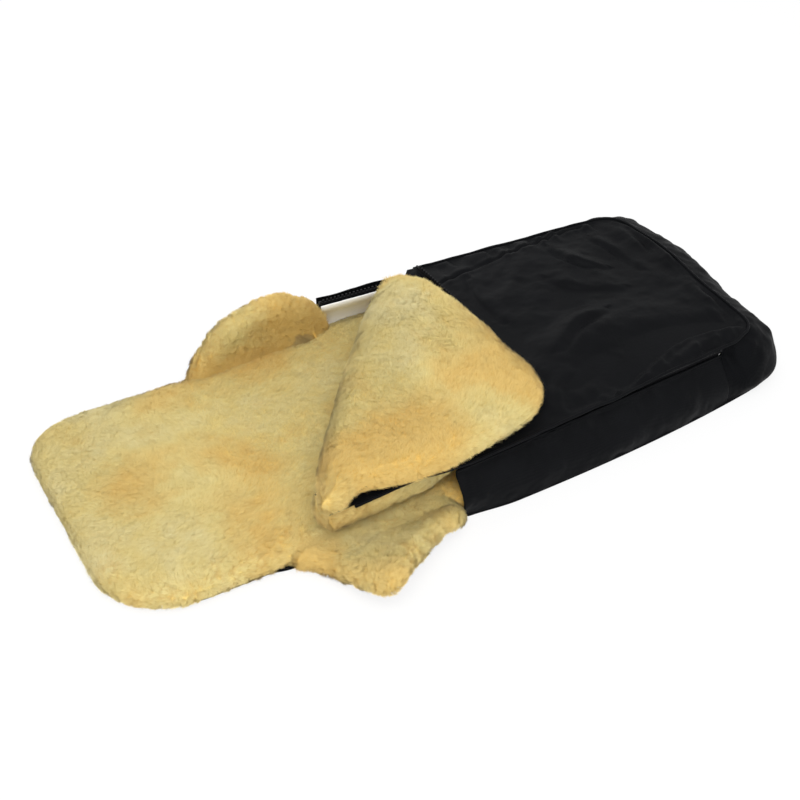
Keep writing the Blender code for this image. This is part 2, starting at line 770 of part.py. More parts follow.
def build_sliders():
    for label, side in SIDES:
        distance = STOP_LENGTH + 2 * SEAT if side < 0 else OPEN_ZIP + SEAT
        frame = zip_frame(side, distance)
        carrier = hinge(label + "_slider_path", frame.translation, frame.to_3x3().to_4x4())
        outline, back = slider_outline(side, 1)
        body = prism(label + "_slider_front", outline, SLIDER_LENGTH, zip_metal(), parent=carrier)
        add_bail(body, side, back)
        outline, _ = slider_outline(side, -1)
        prism(label + "_slider_back", outline, SLIDER_LENGTH, zip_metal(), parent=carrier)
        build_pull(label, side, carrier, back)


def add_bail(body, side, back):
    """Join the arch that holds the pull to the slider's outer plate."""
    low = SLIDER_LENGTH / 2 - BAIL_SPAN / 2
    high = low + BAIL_SPAN
    foot = back - SLIDER_PLATE / 2
    under = back + BAIL_RISE
    over = under + BAIL_BAR
    outline = [(low, foot), (low, over), (high, over), (high, foot), (high - BAIL_POST, foot),
               (high - BAIL_POST, under), (low + BAIL_POST, under), (low + BAIL_POST, foot)]
    arch = plate(body.name + "_arch", [(x, side * y) for x, y in outline], -BAIL_WIDTH / 2, BAIL_WIDTH / 2,
                 zip_metal(), body.parent, plane="xy")
    arch.hide_render = True
    arch.display_type = "WIRE"
    union = body.modifiers.new("arch", "BOOLEAN")
    union.operation = "UNION"
    union.object = arch


def build_pull(label, side, carrier, back):
    """Pull tab: an eye bar under the arch, two arms and a tab."""
    axis = Vector((SLIDER_LENGTH / 2, side * (back + BAIL_RISE / 2), 0))
    half = PULL_WIDTH / 2
    window = PULL_WINDOW / 2
    outline = [(-PULL_EYE, -half), (PULL_LENGTH, -half), (PULL_LENGTH, half), (-PULL_EYE, half)]
    cut = [(PULL_EYE, -window), (PULL_ARM, -window), (PULL_ARM, window), (PULL_EYE, window)]
    builder = bmesh.new()
    rings = []
    for level in (-PULL_THICKNESS / 2, PULL_THICKNESS / 2):
        rings.append([[builder.verts.new((x, level, z)) for x, z in ring] for ring in (outline, cut)])
        rim, hole = rings[-1]
        for i in range(4):
            builder.faces.new((rim[i - 1], rim[i], hole[i], hole[i - 1]))
    for low, high in zip(rings[0], rings[1]):
        for i in range(4):
            builder.faces.new((low[i - 1], low[i], high[i], high[i - 1]))
    pull = finish(label + "_pull", builder, zip_metal(), carrier)
    pull.location = axis
    return pull


def build_flap_zip():
    """Upper half of the far zip's open stretch, along the folded corner's edge."""
    carrier = bpy.data.objects["flap_hinge"]
    far = crease_ends()[1]
    local = Vector((far.x, far.y, CHAIN_Z)) - carrier.matrix_world.translation
    turn = Matrix.Rotation(FLAP_EDGE_LEAN, 4, "Z")
    frame = Matrix.Translation(local) @ turn @ Matrix.Translation((-OPEN_ZIP, -COVER_LIP, 0))
    start = STOP_LENGTH + SEAT
    end = OPEN_ZIP - CREASE_BLUNT * 2
    zip_half_set("flap", frame, start, end, -1, WALL_TOP_Z - CHAIN_Z, carrier)
    top_stop("flap_stop", frame, -1, carrier)


def main():
    for old in list(bpy.data.objects):
        bpy.data.objects.remove(old)
    build_back()
    build_walls()
    build_cover()
    build_flap()
    build_wings()
    build_zips()
    bpy.context.view_layer.update()
    build_flap_zip()
    build_sliders()


main()
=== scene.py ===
"""Looks of the sheepskin footmuff: golden wool, black nylon, white lining and two zips."""

import math

from types import SimpleNamespace

import bpy
import numpy as np
from mathutils import Matrix, Vector
from mathutils.kdtree import KDTree


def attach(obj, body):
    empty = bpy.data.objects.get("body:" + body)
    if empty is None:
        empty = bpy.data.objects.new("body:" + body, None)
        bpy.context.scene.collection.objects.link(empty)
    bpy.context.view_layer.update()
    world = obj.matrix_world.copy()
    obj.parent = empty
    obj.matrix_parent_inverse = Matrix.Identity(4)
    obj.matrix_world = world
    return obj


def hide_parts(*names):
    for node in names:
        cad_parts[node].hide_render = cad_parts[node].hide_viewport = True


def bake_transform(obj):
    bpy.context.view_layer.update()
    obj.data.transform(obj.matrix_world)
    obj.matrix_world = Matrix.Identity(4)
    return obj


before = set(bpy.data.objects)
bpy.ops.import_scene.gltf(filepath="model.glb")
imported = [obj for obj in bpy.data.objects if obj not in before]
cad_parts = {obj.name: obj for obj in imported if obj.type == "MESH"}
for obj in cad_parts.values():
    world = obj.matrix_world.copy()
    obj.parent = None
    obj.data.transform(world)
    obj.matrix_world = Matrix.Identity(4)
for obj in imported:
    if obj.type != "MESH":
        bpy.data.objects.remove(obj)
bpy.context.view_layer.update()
FINE = 1.0

# Sizes shared with the solids
HEAD_X, MOUTH_X, FOOT_X = -0.500, -0.057, 0.478
COVER_FOOT_X, COVER_END_X, ZIP_END_X = 0.422, 0.437, 0.377
HEAD_HALF = 0.198
WING_X, WING_LENGTH, WING_HALF, WING_HEADING = -0.284, 0.225, 0.203, math.asin(0.013 / 0.225)
FLOOR_HALF, FLOOR_DRAW, FLOOR_RADIUS = 0.219, 0.039, 0.060
ZIP_HALF, ZIP_SLOPE = 0.200, 0.029 / 0.479
COVER_RADIUS = 0.044
BED_RADII, BACK_RADII, HEAD_SLANT = (0.100, 0.074), (0.104, 0.078), 0.044
BED_Z, TAPE_FOOT_Z, GUSSET_TOP_Z, WALL_TOP_Z = 0.0033, 0.0616, 0.068, 0.0855
COVER_EDGE_Z, COVER_RISE, HINGE_Z = 0.088, 0.008, 0.0964
SIDE_BULGE, NEAR_SPREAD = 0.010, 0.007
CREASE = math.radians(49)
CREASE_NEAR, CREASE_FAR = np.array((-0.2632, -0.2125)), np.array((0.0877, 0.1912))
ALONG = np.array((math.cos(CREASE), math.sin(CREASE)))
AWAY = np.array((-math.sin(CREASE), math.cos(CREASE)))


# Numbers and noise


def smooth(t):
    t = np.clip(t, 0.0, 1.0)
    return t * t * (3 - 2 * t)


def mix(a, b, t):
    return a + (b - a) * t


def bell(t):
    """1 at 0, falling smoothly to nearly 0 at 2."""
    return np.exp(-t ** 2)


def lattice(ix, iy, iz, seed):
    """Repeatable random value from 0 to 1 at each lattice point."""
    n = (ix * 374761393 + iy * 668265263 + iz * 1103515245 + seed * 12345701) & 0xFFFFFFFF
    n = ((n ^ (n >> 15)) * 1274126177) & 0xFFFFFFFF
    n = ((n ^ (n >> 13)) * 1911520717) & 0xFFFFFFFF
    return ((n ^ (n >> 16)) & 0xFFFFFF) / float(0xFFFFFF)


def noise(p, size, seed=0):
    """Smooth noise from -1 to 1 at points (..., 3)."""
    q = p / size + 1000.0
    base = np.floor(q).astype(np.int64)
    f = q - base
    f = f * f * f * (f * (f * 6 - 15) + 10)
    total = 0.0
    for corner in range(8):
        dx, dy, dz = corner & 1, corner >> 1 & 1, corner >> 2
        weight = ((f[..., 0] if dx else 1 - f[..., 0]) * (f[..., 1] if dy else 1 - f[..., 1])
                  * (f[..., 2] if dz else 1 - f[..., 2]))
        total = total + weight * lattice(base[..., 0] + dx, base[..., 1] + dy, base[..., 2] + dz, seed)
    return total * 2 - 1


def layered(p, size, octaves=3, seed=0):
    """Sum of noise at halving sizes."""
    total, scale = 0.0, 1.0
    for k in range(octaves):
        total = total + scale * noise(p, size / 2 ** k, seed + k)
        scale *= 0.5
    return total


def cells(p, size, seed=0):
    """Distances to the nearest and second nearest scattered points, in cell sizes."""
    q = p / size + 1000.0
    base = np.floor(q).astype(np.int64)
    first = np.full(p.shape[:-1], 9.0)
    second = np.full(p.shape[:-1], 9.0)
    for dx in (-1, 0, 1):
        for dy in (-1, 0, 1):
            for dz in (-1, 0, 1):
                cx, cy, cz = base[..., 0] + dx, base[..., 1] + dy, base[..., 2] + dz
                ox = cx + lattice(cx, cy, cz, seed) - q[..., 0]
                oy = cy + lattice(cx, cy, cz, seed + 1) - q[..., 1]
                oz = cz + lattice(cx, cy, cz, seed + 2) - q[..., 2]
                d = np.sqrt(ox * ox + oy * oy + oz * oz)
                second = np.minimum(second, np.maximum(first, d))
                first = np.minimum(first, d)
    return first, second


def count(n):
    """Grid size, coarser while trying things."""
    return max(4, int(n * FINE))


def crowded(n, share=0.55):
    """Stations from 0 to 1, closer together towards both ends."""
    t = np.linspace(0, 1, n)
    return mix(t, (1 - np.cos(np.pi * t)) / 2, share)


def resampled(points, stations):
    """Points at shares of a polyline's length."""
    points = np.asarray(points, float)
    steps = np.linalg.norm(np.diff(points, axis=0), axis=1)
    reach = np.concatenate(([0], np.cumsum(steps)))
    s = np.asarray(stations) * reach[-1]
    return np.stack([np.interp(s, reach, points[:, k]) for k in range(points.shape[1])], axis=-1)


def curved(points, per=12):
    """Smooth curve through points."""
    p = np.asarray(points, float)
    p = np.vstack((2 * p[0] - p[1], p, 2 * p[-1] - p[-2]))
    t = np.linspace(0, 1, per, endpoint=False)[:, None]
    out = []
    for a, b, c, d in zip(p, p[1:], p[2:], p[3:]):
        square, cubic = 2 * a - 5 * b + 4 * c - d, 3 * b - a - 3 * c + d
        out.append(0.5 * (2 * b + (c - a) * t + square * t ** 2 + cubic * t ** 3))
    out.append(p[-2][None, :])
    return np.vstack(out)


def rounded(corners, radii, steps=14):
    """Polyline through corners with each inner corner rounded."""
    corners = [np.asarray(c, float) for c in corners]
    out = [corners[0]]
    for a, b, c, r in zip(corners, corners[1:], corners[2:], radii):
        u, v = (a - b) / np.linalg.norm(a - b), (c - b) / np.linalg.norm(c - b)
        half = math.acos(float(np.clip(u @ v, -1, 1))) / 2
        start, end = b + u * r / math.tan(half), b + v * r / math.tan(half)
        for t in np.linspace(0, 1, steps):
            out.append(mix(mix(start, b, t), mix(b, end, t), t))
    out.append(corners[-1])
    return np.array(out)


# Mesh building


def grid_faces(n, m, offset=0):
    i = np.arange(n * m).reshape(n, m) + offset
    return np.stack((i[:-1, :-1], i[1:, :-1], i[1:, 1:], i[:-1, 1:]), axis=-1).reshape(-1, 4)


def make(name, verts, faces, look, body=None):
    """Smooth mesh from points and one or more arrays of faces."""
    faces = faces if isinstance(faces, list) else [faces]
    sizes = np.concatenate([np.full(len(f), f.shape[1]) for f in faces])
    corners = np.concatenate([f.ravel() for f in faces])
    mesh = bpy.data.meshes.new(name)
    mesh.vertices.add(len(verts))
    mesh.vertices.foreach_set("co", np.asarray(verts, np.float32).ravel())
    mesh.loops.add(len(corners))
    mesh.loops.foreach_set("vertex_index", corners.astype(np.int32))
    mesh.polygons.add(len(sizes))
    mesh.polygons.foreach_set("loop_start", (np.cumsum(sizes) - sizes).astype(np.int32))
    mesh.update(calc_edges=True)
    mesh.validate()
    mesh.shade_smooth()
    mesh.materials.append(look)
    piece = bpy.data.objects.new(name, mesh)
    bpy.context.scene.collection.objects.link(piece)
    if body:
        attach(piece, body)
    return piece


def point_normals(verts, quads):
    a, b, c, d = (verts[quads[:, k]] for k in range(4))
    face = np.cross(c - a, d - b)
    at = quads.ravel()
    out = np.stack([np.bincount(at, np.repeat(face[:, k], 4), len(verts)) for k in range(3)], axis=1)
    return out / np.maximum(np.linalg.norm(out, axis=1, keepdims=True), 1e-12)


def stored(piece, name, values):
    attribute = piece.data.attributes.new(name, "FLOAT", "POINT")
    attribute.data.foreach_set("value", np.asarray(values, np.float32))


def border_index(n, m):
    i = np.arange(n * m).reshape(n, m)
    return np.concatenate((i[0, :], i[1:, -1], i[-1, -2::-1], i[-2:0:-1, 0]))


def outline_data(plan):
    """Border of a plan grid, its inward normals, and each grid point's distance to it."""
    n, m = plan.shape[:2]
    index = border_index(n, m)
    loop = plan.reshape(-1, 2)[index]
    tangent = np.roll(loop, -3, axis=0) - np.roll(loop, 3, axis=0)
    tangent /= np.maximum(np.linalg.norm(tangent, axis=1, keepdims=True), 1e-9)
    inward = np.stack((-tangent[:, 1], tangent[:, 0]), axis=1)
    ahead = np.roll(loop, -1, axis=0)
    turn = 1 if np.sum(loop[:, 0] * ahead[:, 1] - ahead[:, 0] * loop[:, 1]) > 0 else -1
    inward *= turn
    for _ in range(6):
        inward = (np.roll(inward, 1, axis=0) + inward * 2 + np.roll(inward, -1, axis=0)) / 4
        inward /= np.maximum(np.linalg.norm(inward, axis=1, keepdims=True), 1e-9)
    dense, owner = [], []
    for k, (a, b) in enumerate(zip(loop, ahead)):
        parts = max(1, int(np.linalg.norm(b - a) / 0.0008))
        dense += [a + (b - a) * j / parts for j in range(parts)]
        owner += [k] * parts
    tree = KDTree(len(dense))
    for k, p in enumerate(dense):
        tree.insert((p[0], p[1], 0), k)
    tree.balance()
    found = [tree.find((x, y, 0)) for x, y in plan.reshape(-1, 2)]
    distance = np.array([f[2] for f in found])
    nearest = np.array([owner[f[1]] for f in found])
    distance[index] = 0.0
    return SimpleNamespace(index=index, loop=loop, inward=inward, turn=turn,
                           distance=distance, nearest=nearest)


def pad(plan, top, middle, low, rounding, skirt, inner=None, rings=7):
    """Closed pad over a plan grid: crowned top, rounded rim turned under and a flat base.

    top, middle and low are heights; all but top may be one value per border point.
    inner is a height and an inset for one more ring inside the rim, for a hollow roll."""
    n, m = plan.shape[:2]
    edge = outline_data(plan)
    k = len(edge.loop)
    middle, low, skirt, rounding = (np.broadcast_to(v, k) for v in (middle, low, skirt, rounding))
    share = np.minimum(edge.distance / rounding[edge.nearest], 1.0)
    mid = middle[edge.nearest]
    z = mid + (top - mid) * np.sqrt(np.maximum(1 - (1 - share) ** 2, 0))
    verts = [np.column_stack((plan.reshape(-1, 2), z))]
    quads = [grid_faces(n, m)]
    levels = [(skirt * (1 - math.cos(a)), middle - (middle - low) * math.sin(a))
              for a in np.linspace(0, math.pi / 2, rings + 1)[1:]]
    if inner is not None:
        levels.append((skirt + inner[1], np.full(k, inner[0])))
    previous, total = edge.index, n * m
    for inset, height in levels:
        verts.append(np.column_stack((edge.loop + edge.inward * inset[:, None], height)))
        current = np.arange(k) + total
        quads.append(np.stack((previous, np.roll(previous, -1), np.roll(current, -1), current), axis=1))
        previous, total = current, total + k
    quads, base = np.vstack(quads), previous[None, ::-1]
    if edge.turn > 0:
        quads, base = quads[:, ::-1], base[:, ::-1]
    return SimpleNamespace(verts=np.vstack(verts), quads=quads, base=base, ring=k)


# Wool

CURL_SIZE, PILE, WOOL_FILL = 0.0115, 0.0085, 0.45
FIBRE_HALF_WIDTH, FIBRE_BURIED, FIBRES_PER_PIECE, QUICK_SHARE = 0.00023, 0.0010, 60000, 0.25


def wool_relief(p, curl):
    """Height of the wool above its pile, and how open its partings are."""
    warp = np.stack([noise(p, 0.016, 11 + k) for k in range(3)], axis=-1) * 0.005
    warp += np.stack([noise(p, 0.005, 21 + k) for k in range(3)], axis=-1) * 0.0014
    first, second = cells(p + warp, CURL_SIZE, 31)
    gate = smooth((noise(p, 0.040, 51) * 0.45 + curl * 2.2 - 0.16) / 0.5)
    part = (1 - smooth((second - first) / 0.20)) * gate
    rise = layered(p, 0.070, 2, 61) * 0.0013 + layered(p, 0.020, 2, 66) * 0.0004
    rise += (0.45 - smooth(first / 0.95)) * (0.0003 + 0.0065 * curl)
    rise -= part * 0.0040 * curl
    return rise, part


def warmth(p, spots, seed):
    """From -1 where the wool is cream to 1 where it is amber."""
    value = layered(p, 0.100, 2, seed) * 0.48 + noise(p, 0.016, seed + 5) * 0.20 + 0.10
    for x, y, radius, amount in spots:
        value += amount * np.exp(-((p[:, 0] - x) ** 2 + (p[:, 1] - y) ** 2) / radius ** 2)
    return np.clip(value, -1, 1)


def combed(p):
    """Direction in which the wool leans."""
    x = noise(p, 0.110, 81) + 0.45 * noise(p, 0.024, 82) + 0.25
    y = noise(p, 0.110, 83) + 0.45 * noise(p, 0.024, 84) - 0.15
    z = noise(p, 0.060, 85) * 0.3
    return np.stack((x, y, z), axis=-1)


def unit(v):
    return v / np.maximum(np.linalg.norm(v, axis=-1, keepdims=True), 1e-9)


def joined(piece, body, blend):
    if blend:
        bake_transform(piece)
    else:
        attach(piece, body)


def wool_piece(name, skin, curl, warm, replaced, body=None, blend=None, lowest=None):
    """Wool surface from a smooth pad: locks and partings in the pile."""
    skin.normals = point_normals(skin.verts, skin.quads)
    rise, part = wool_relief(skin.verts, curl)
    rise[-skin.ring:] = 0.0
    skin.verts = skin.verts + skin.normals * rise[:, None]
    if lowest is not None:
        skin.verts[:, 2] = np.maximum(skin.verts[:, 2], lowest)
    skin.curl, skin.warm, skin.part = curl, warm, part
    piece = make(name, skin.verts, [skin.quads, skin.base], WOOL, None)
    # The parting value also tints the wool's colour darker orange, as painted shade in the partings
    stored(piece, "parting", part)
    stored(piece, "warmth", warm * 0.5 + 0.5)
    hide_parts(*replaced)
    joined(piece, body, blend)
    return piece


def scattered(skin, weight, number, rng):
    """Random places on a skin, denser where weight is high, and the area that they cover."""
    quads = skin.quads
    a, b, c, d = (skin.verts[quads[:, k]] for k in range(4))
    area = 0.5 * np.linalg.norm(np.cross(c - a, d - b), axis=1)
    share = weight[quads].mean(axis=1)
    chance = area * share
    pick = quads[np.sort(rng.choice(len(quads), number, p=chance / chance.sum()))]
    u, v = rng.random((2, number, 1))

    def across(values):
        w = values[pick].reshape(number, 4, -1)
        return mix(mix(w[:, 0], w[:, 1], u), mix(w[:, 3], w[:, 2], u), v)

    root, normal = across(skin.verts), unit(across(skin.normals))
    curly, deep, warm = (across(values)[:, 0] for values in (skin.curl, skin.part, skin.warm))
    return root, normal, curly, deep, warm, float((area * (share > 0.01)).sum())


def lock_owners(root, number, rng):
    """For each fibre, the fibre that leads its lock."""
    leaders = rng.choice(len(root), min(len(root), number), replace=False)
    tree = KDTree(len(leaders))
    for k, i in enumerate(leaders):
        tree.insert(root[i], k)
    tree.balance()
    return leaders[np.array([tree.find(p)[1] for p in root])]


def fibre_pieces(name, verts, lit, values, body, blend):
    """Meshes of fibres, each a four-sided ribbon with a pointed end, lit as the wool round them."""
    parts = math.ceil(len(verts) / FIBRES_PER_PIECE)
    for k, rows in enumerate(np.array_split(np.arange(len(verts)), parts)):
        first = np.arange(len(rows))[:, None] * 5
        faces = [first + np.array((0, 1, 2, 3)), first + np.array((3, 2, 4))]
        label = name if parts == 1 else "%s_%d" % (name, k + 1)
        piece = make(label, verts[rows].reshape(-1, 3), faces, FIBRE, None)
        for key, value in values.items():
            stored(piece, key, np.repeat(value[rows], 5))
        stored(piece, "tipped", np.tile((0.0, 0.0, 0.55, 0.55, 1.0), len(rows)))
        piece.data.normals_split_custom_set_from_vertices(np.repeat(lit[rows], 5, axis=0))
        joined(piece, body, blend)


def fibres(name, skin, weight, number, lean, lock, seed, body=None, blend=None, length=PILE, lowest=None):
    """Tapered wool fibres that stand on a skin, gathered into locks that share a lean and a tip."""
    number = int(number * (1.0))
    rng = np.random.default_rng(seed)

    def scatter(amount):
        return amount * rng.normal(size=(number, 3))

    root, normal, curly, deep, warm, covered = scattered(skin, weight, number, rng)
    owner = lock_owners(root, int(covered / lock ** 2), rng)
    stray = scatter(1.0)
    comb = combed(root) + (0.12 + 0.60 * curly)[:, None] * stray[owner] + scatter(0.28)
    comb = unit(comb - normal * np.sum(comb * normal, axis=1, keepdims=True))
    own = rng.random(number)
    bend = lean * (1 - 0.30 * curly) * (0.88 + 0.12 * rng.random(number)[owner] + 0.14 * own)
    size = length * (0.70 + 0.28 * rng.random(number)[owner] + 0.26 * rng.random(number))
    size = size * (1 - 0.30 * deep)
    wander = (size * 0.05)[:, None]
    axis = normal * np.cos(bend)[:, None] + comb * np.sin(bend)[:, None]
    rise = normal * np.cos(bend * 0.55)[:, None] + comb * np.sin(bend * 0.55)[:, None]
    tip = root + axis * size[:, None]
    middle = root + rise * (size * 0.52)[:, None] + scatter(wander)
    gather = (0.04 + 0.45 * curly) * (0.6 + 0.5 * rng.random(number))
    tip = mix(tip, tip[owner], gather[:, None]) + scatter(wander)
    middle = mix(middle, middle[owner], (gather * 0.35)[:, None])
    facing = normal + scatter(0.25)
    half_width = FIBRE_HALF_WIDTH * (0.75 + 0.5 * rng.random(number))
    side = unit(np.cross(tip - root, facing)) * half_width[:, None]
    start = root - normal * FIBRE_BURIED
    verts = np.stack((start - side, start + side, middle + side * 0.8, middle - side * 0.8, tip), axis=1)
    verts[..., 2] = np.maximum(verts[..., 2], 0.0 if lowest is None else lowest(verts))
    lit = unit(normal + scatter(0.15) + (0.05 + 0.30 * curly)[:, None] * stray[owner])
    shade = 0.5 * (0.5 + 0.9 * curly) * rng.random(number)[owner] + 0.5 * rng.random(number)
    # The fibres' parting value tints them darker orange in the partings, as painted shade
    values = {"shade": shade, "parting": deep, "warmth": warm * 0.5 + 0.5}
    fibre_pieces(name, verts, lit, values, body, blend)


# Materials


class Nodes:
    """Small helper round one node tree."""

    def __init__(self, tree):
        self.tree = tree

    def node(self, kind, **settings):
        made = self.tree.nodes.new(kind)
        for key, value in settings.items():
            setattr(made, key, value)
        return made

    def link(self, a, b):
        self.tree.links.new(a, b)

    def feed(self, socket, value):
        """Sets a socket to a number or a colour, or links another socket to it."""
        if isinstance(value, (float, int)):
            socket.default_value = value
        elif isinstance(value, tuple):
            socket.default_value = (*value, 1)
        else:
            self.link(value, socket)

    def maths(self, operation, a, b=0.0, clamp=False):
        made = self.node("ShaderNodeMath", operation=operation, use_clamp=clamp)
        self.feed(made.inputs[0], a)
        self.feed(made.inputs[1], b)
        return made.outputs[0]

    def surface(self, factor, first, second, output):
        """Makes the tree's surface a mix of two shaders."""
        made = self.node("ShaderNodeMixShader")
        for k, socket in enumerate((factor, first.outputs[0], second.outputs[0])):
            self.link(socket, made.inputs[k])
        self.link(made.outputs[0], self.tree.nodes[output].inputs["Surface"])


class Look(Nodes):
    """A material with one Principled shader."""

    def __init__(self, name):
        self.material = bpy.data.materials.new(name)
        self.material.use_nodes = True
        super().__init__(self.material.node_tree)
        self.shader = self.tree.nodes["Principled BSDF"]

    def place(self, stretch=(1, 1, 1), turn=(0, 0, 0)):
        coordinates = self.node("ShaderNodeTexCoord")
        mapping = self.node("ShaderNodeMapping")
        mapping.inputs["Scale"].default_value = stretch
        mapping.inputs["Rotation"].default_value = turn
        self.link(coordinates.outputs["Object"], mapping.inputs["Vector"])
        return mapping.outputs["Vector"]

    def texture(self, size, detail=2.0, place=None, rough=0.5):
        made = self.node("ShaderNodeTexNoise")
        made.inputs["Scale"].default_value = 1.0 / size
        made.inputs["Detail"].default_value = detail
        made.inputs["Roughness"].default_value = rough
        self.link(place if place else self.place(), made.inputs["Vector"])
        return made.outputs[0]

    def threads(self, spacing, along="X", sway=0.0):
        made = self.node("ShaderNodeTexWave", bands_direction=along)
        made.inputs["Scale"].default_value = 1.0 / spacing / 6.283
        made.inputs["Distortion"].default_value = sway
        self.link(self.place(), made.inputs["Vector"])
        return made.outputs[1]

    def attribute(self, name):
        return self.node("ShaderNodeAttribute", attribute_name=name).outputs["Fac"]

    def ramp(self, value, *stops):
        made = self.node("ShaderNodeValToRGB")
        ramp = made.color_ramp
        while len(ramp.elements) < len(stops):
            ramp.elements.new(0.5)
        for element, (place, colour) in zip(ramp.elements, stops):
            element.position = place
            element.color = (*colour, 1) if isinstance(colour, tuple) else (*[colour] * 3, 1)
        self.link(value, made.inputs["Fac"])
        return made.outputs["Color"]

    def shade(self, socket, value, *stops):
        """Drives a socket of the shader by a ramp."""
        self.link(self.ramp(value, *stops), self.shader.inputs[socket])

    def blend(self, factor, a, b, mode="MIX"):
        made = self.node("ShaderNodeMix", data_type="RGBA", blend_type=mode)
        for socket, value in (("Factor", factor), ("A", a), ("B", b)):
            kind = "VALUE" if socket == "Factor" else "RGBA"
            self.feed(next(i for i in made.inputs if i.name == socket and i.type == kind), value)
        return next(o for o in made.outputs if o.type == "RGBA")

    def two_sided(self):
        """Gives both sides of a thin fibre the wool's own surface direction."""
        geometry = self.node("ShaderNodeNewGeometry")
        sign = self.maths("SUBTRACT", 1.0, self.maths("MULTIPLY", geometry.outputs["Backfacing"], 2.0))
        turned = self.node("ShaderNodeVectorMath", operation="SCALE")
        self.link(geometry.outputs["Normal"], turned.inputs["Vector"])
        self.link(sign, turned.inputs["Scale"])
        self.link(turned.outputs["Vector"], self.shader.inputs["Normal"])

    def bump(self, height, strength, distance):
        made = self.node("ShaderNodeBump")
        made.inputs["Strength"].default_value = strength
        made.inputs["Distance"].default_value = distance
        self.link(height, made.inputs["Height"])
        self.link(made.outputs["Normal"], self.shader.inputs["Normal"])

    def set(self, **values):
        for key, value in values.items():
            self.shader.inputs[key.replace("_", " ")].default_value = value
        return self


CREAM = (0.970, 0.875, 0.470)
GOLD = (0.965, 0.805, 0.325)
AMBER = (0.960, 0.660, 0.190)
# Darker orange painted into the wool's partings as their shade
PAINTED_PARTING_SHADE = (0.880, 0.560, 0.150)


def wool_colour(look):
    """Cream to amber by warmth, and a darker orange painted shade down in the partings."""
    colour = look.ramp(look.attribute("warmth"), (0.18, CREAM), (0.50, GOLD), (0.85, AMBER))
    # Painted shade: the partings are tinted towards a darker orange
    return look.blend(look.maths("MULTIPLY", look.attribute("parting"), 0.55, True), colour, PAINTED_PARTING_SHADE)


def wool_surface():
    look = Look("golden_wool").set(Roughness=0.95, Sheen_Weight=0.10, Sheen_Roughness=0.6,
                                   Specular_IOR_Level=0.05)
    look.shader.inputs["Sheen Tint"].default_value = (1.0, 0.93, 0.75, 1)
    streak = look.texture(0.0030, 4.0, look.place((1.0, 0.35, 1.0), (0, 0, 0.7)), 0.65)
    fleck = look.ramp(streak, (0.28, 0.35), (0.60, 0.05))
    colour = look.blend(fleck, wool_colour(look), AMBER, "MULTIPLY")
    look.link(colour, look.shader.inputs["Base Color"])
    look.bump(streak, 0.5, 0.0010)
    return look.material


def wool_fibre():
    look = Look("wool_fibre").set(Roughness=0.9, Specular_IOR_Level=0.08, Sheen_Weight=0.10)
    look.shader.inputs["Sheen Tint"].default_value = (1.0, 0.95, 0.8, 1)
    colour = wool_colour(look)
    along = look.attribute("tipped")
    tip = look.ramp(along, (0.0, (0.93, 0.84, 0.66)), (0.6, (1.0, 0.98, 0.94)), (1.0, 1.0))
    colour = look.blend(1.0, colour, tip, "MULTIPLY")
    colour = look.blend(look.maths("MULTIPLY", along, 0.16), colour, (0.97, 0.92, 0.66))
    shade = look.ramp(look.attribute("shade"), (0.0, (0.86, 0.82, 0.74)), (1.0, 1.0))
    look.link(look.blend(1.0, colour, shade, "MULTIPLY"), look.shader.inputs["Base Color"])
    look.two_sided()
    return look.material


NYLON_DARK, NYLON_PALE = np.array((0.0026, 0.0029, 0.0036)), np.array((0.0046, 0.0050, 0.0060))


def nylon_cloth(name, shine, depth):
    """Fine plain weave in near black; depth scales its colour, lower for the toe's painted shade."""
    look = Look(name).set(Roughness=0.52, Specular_IOR_Level=shine, Sheen_Weight=0.0)
    tone = look.texture(0.045, 3.0)
    colour = look.ramp(tone, (0.30, tuple(NYLON_DARK * depth)), (0.75, tuple(NYLON_PALE * depth)))
    weave = look.maths("MULTIPLY", look.threads(0.0009, "X", 0.6), look.threads(0.0009, "Y", 0.6))
    colour = look.blend(look.maths("MULTIPLY", weave, 0.30), colour, (0.010, 0.0102, 0.0115))
    look.link(colour, look.shader.inputs["Base Color"])
    crumple = look.texture(0.010, 3.0, rough=0.6)
    height = look.maths("ADD", look.maths("MULTIPLY", weave, 0.12), crumple)
    look.bump(height, 0.35, 0.0012)
    look.shade("Roughness", tone, (0.3, 0.46), (0.8, 0.58))
    return look.material


def satin_lining():
    look = Look("white_lining_cloth").set(Roughness=0.45, Specular_IOR_Level=0.4, Sheen_Weight=0.1)
    tone = look.texture(0.030, 2.0)
    look.shade("Base Color", tone, (0.3, (0.95, 0.945, 0.93)), (0.8, (0.97, 0.97, 0.96)))
    height = look.maths("ADD", look.maths("MULTIPLY", look.threads(0.0012), 0.15), look.texture(0.014, 3.0))
    look.bump(height, 0.35, 0.001)
    return look.material


def woven_tape():
    look = Look("woven_zip_tape").set(Roughness=0.80, Specular_IOR_Level=0.08)
    rib = look.threads(0.0011)
    look.shade("Base Color", rib, (0.2, (0.004, 0.004, 0.005)), (0.9, (0.011, 0.011, 0.012)))
    look.bump(rib, 0.5, 0.0004)
    return look.material


def tooth_plastic():
    look = Look("moulded_zip_teeth").set(Roughness=0.42, Specular_IOR_Level=0.16)
    tone = look.texture(0.004, 2.0)
    look.shade("Base Color", tone, (0.3, (0.005, 0.005, 0.006)), (0.8, (0.010, 0.010, 0.011)))
    look.bump(look.texture(0.0015, 2.0), 0.15, 0.0002)
    return look.material


def dull_metal():
    look = Look("die_cast_zip_metal").set(Metallic=1.0, Roughness=0.28)
    tone = look.texture(0.003, 3.0)
    look.shade("Base Color", tone, (0.3, (0.050, 0.050, 0.053)), (0.8, (0.085, 0.085, 0.090)))
    look.shade("Roughness", tone, (0.3, 0.22), (0.8, 0.38))
    look.bump(look.texture(0.0008, 2.0, look.place((1, 6, 1))), 0.12, 0.0002)
    return look.material


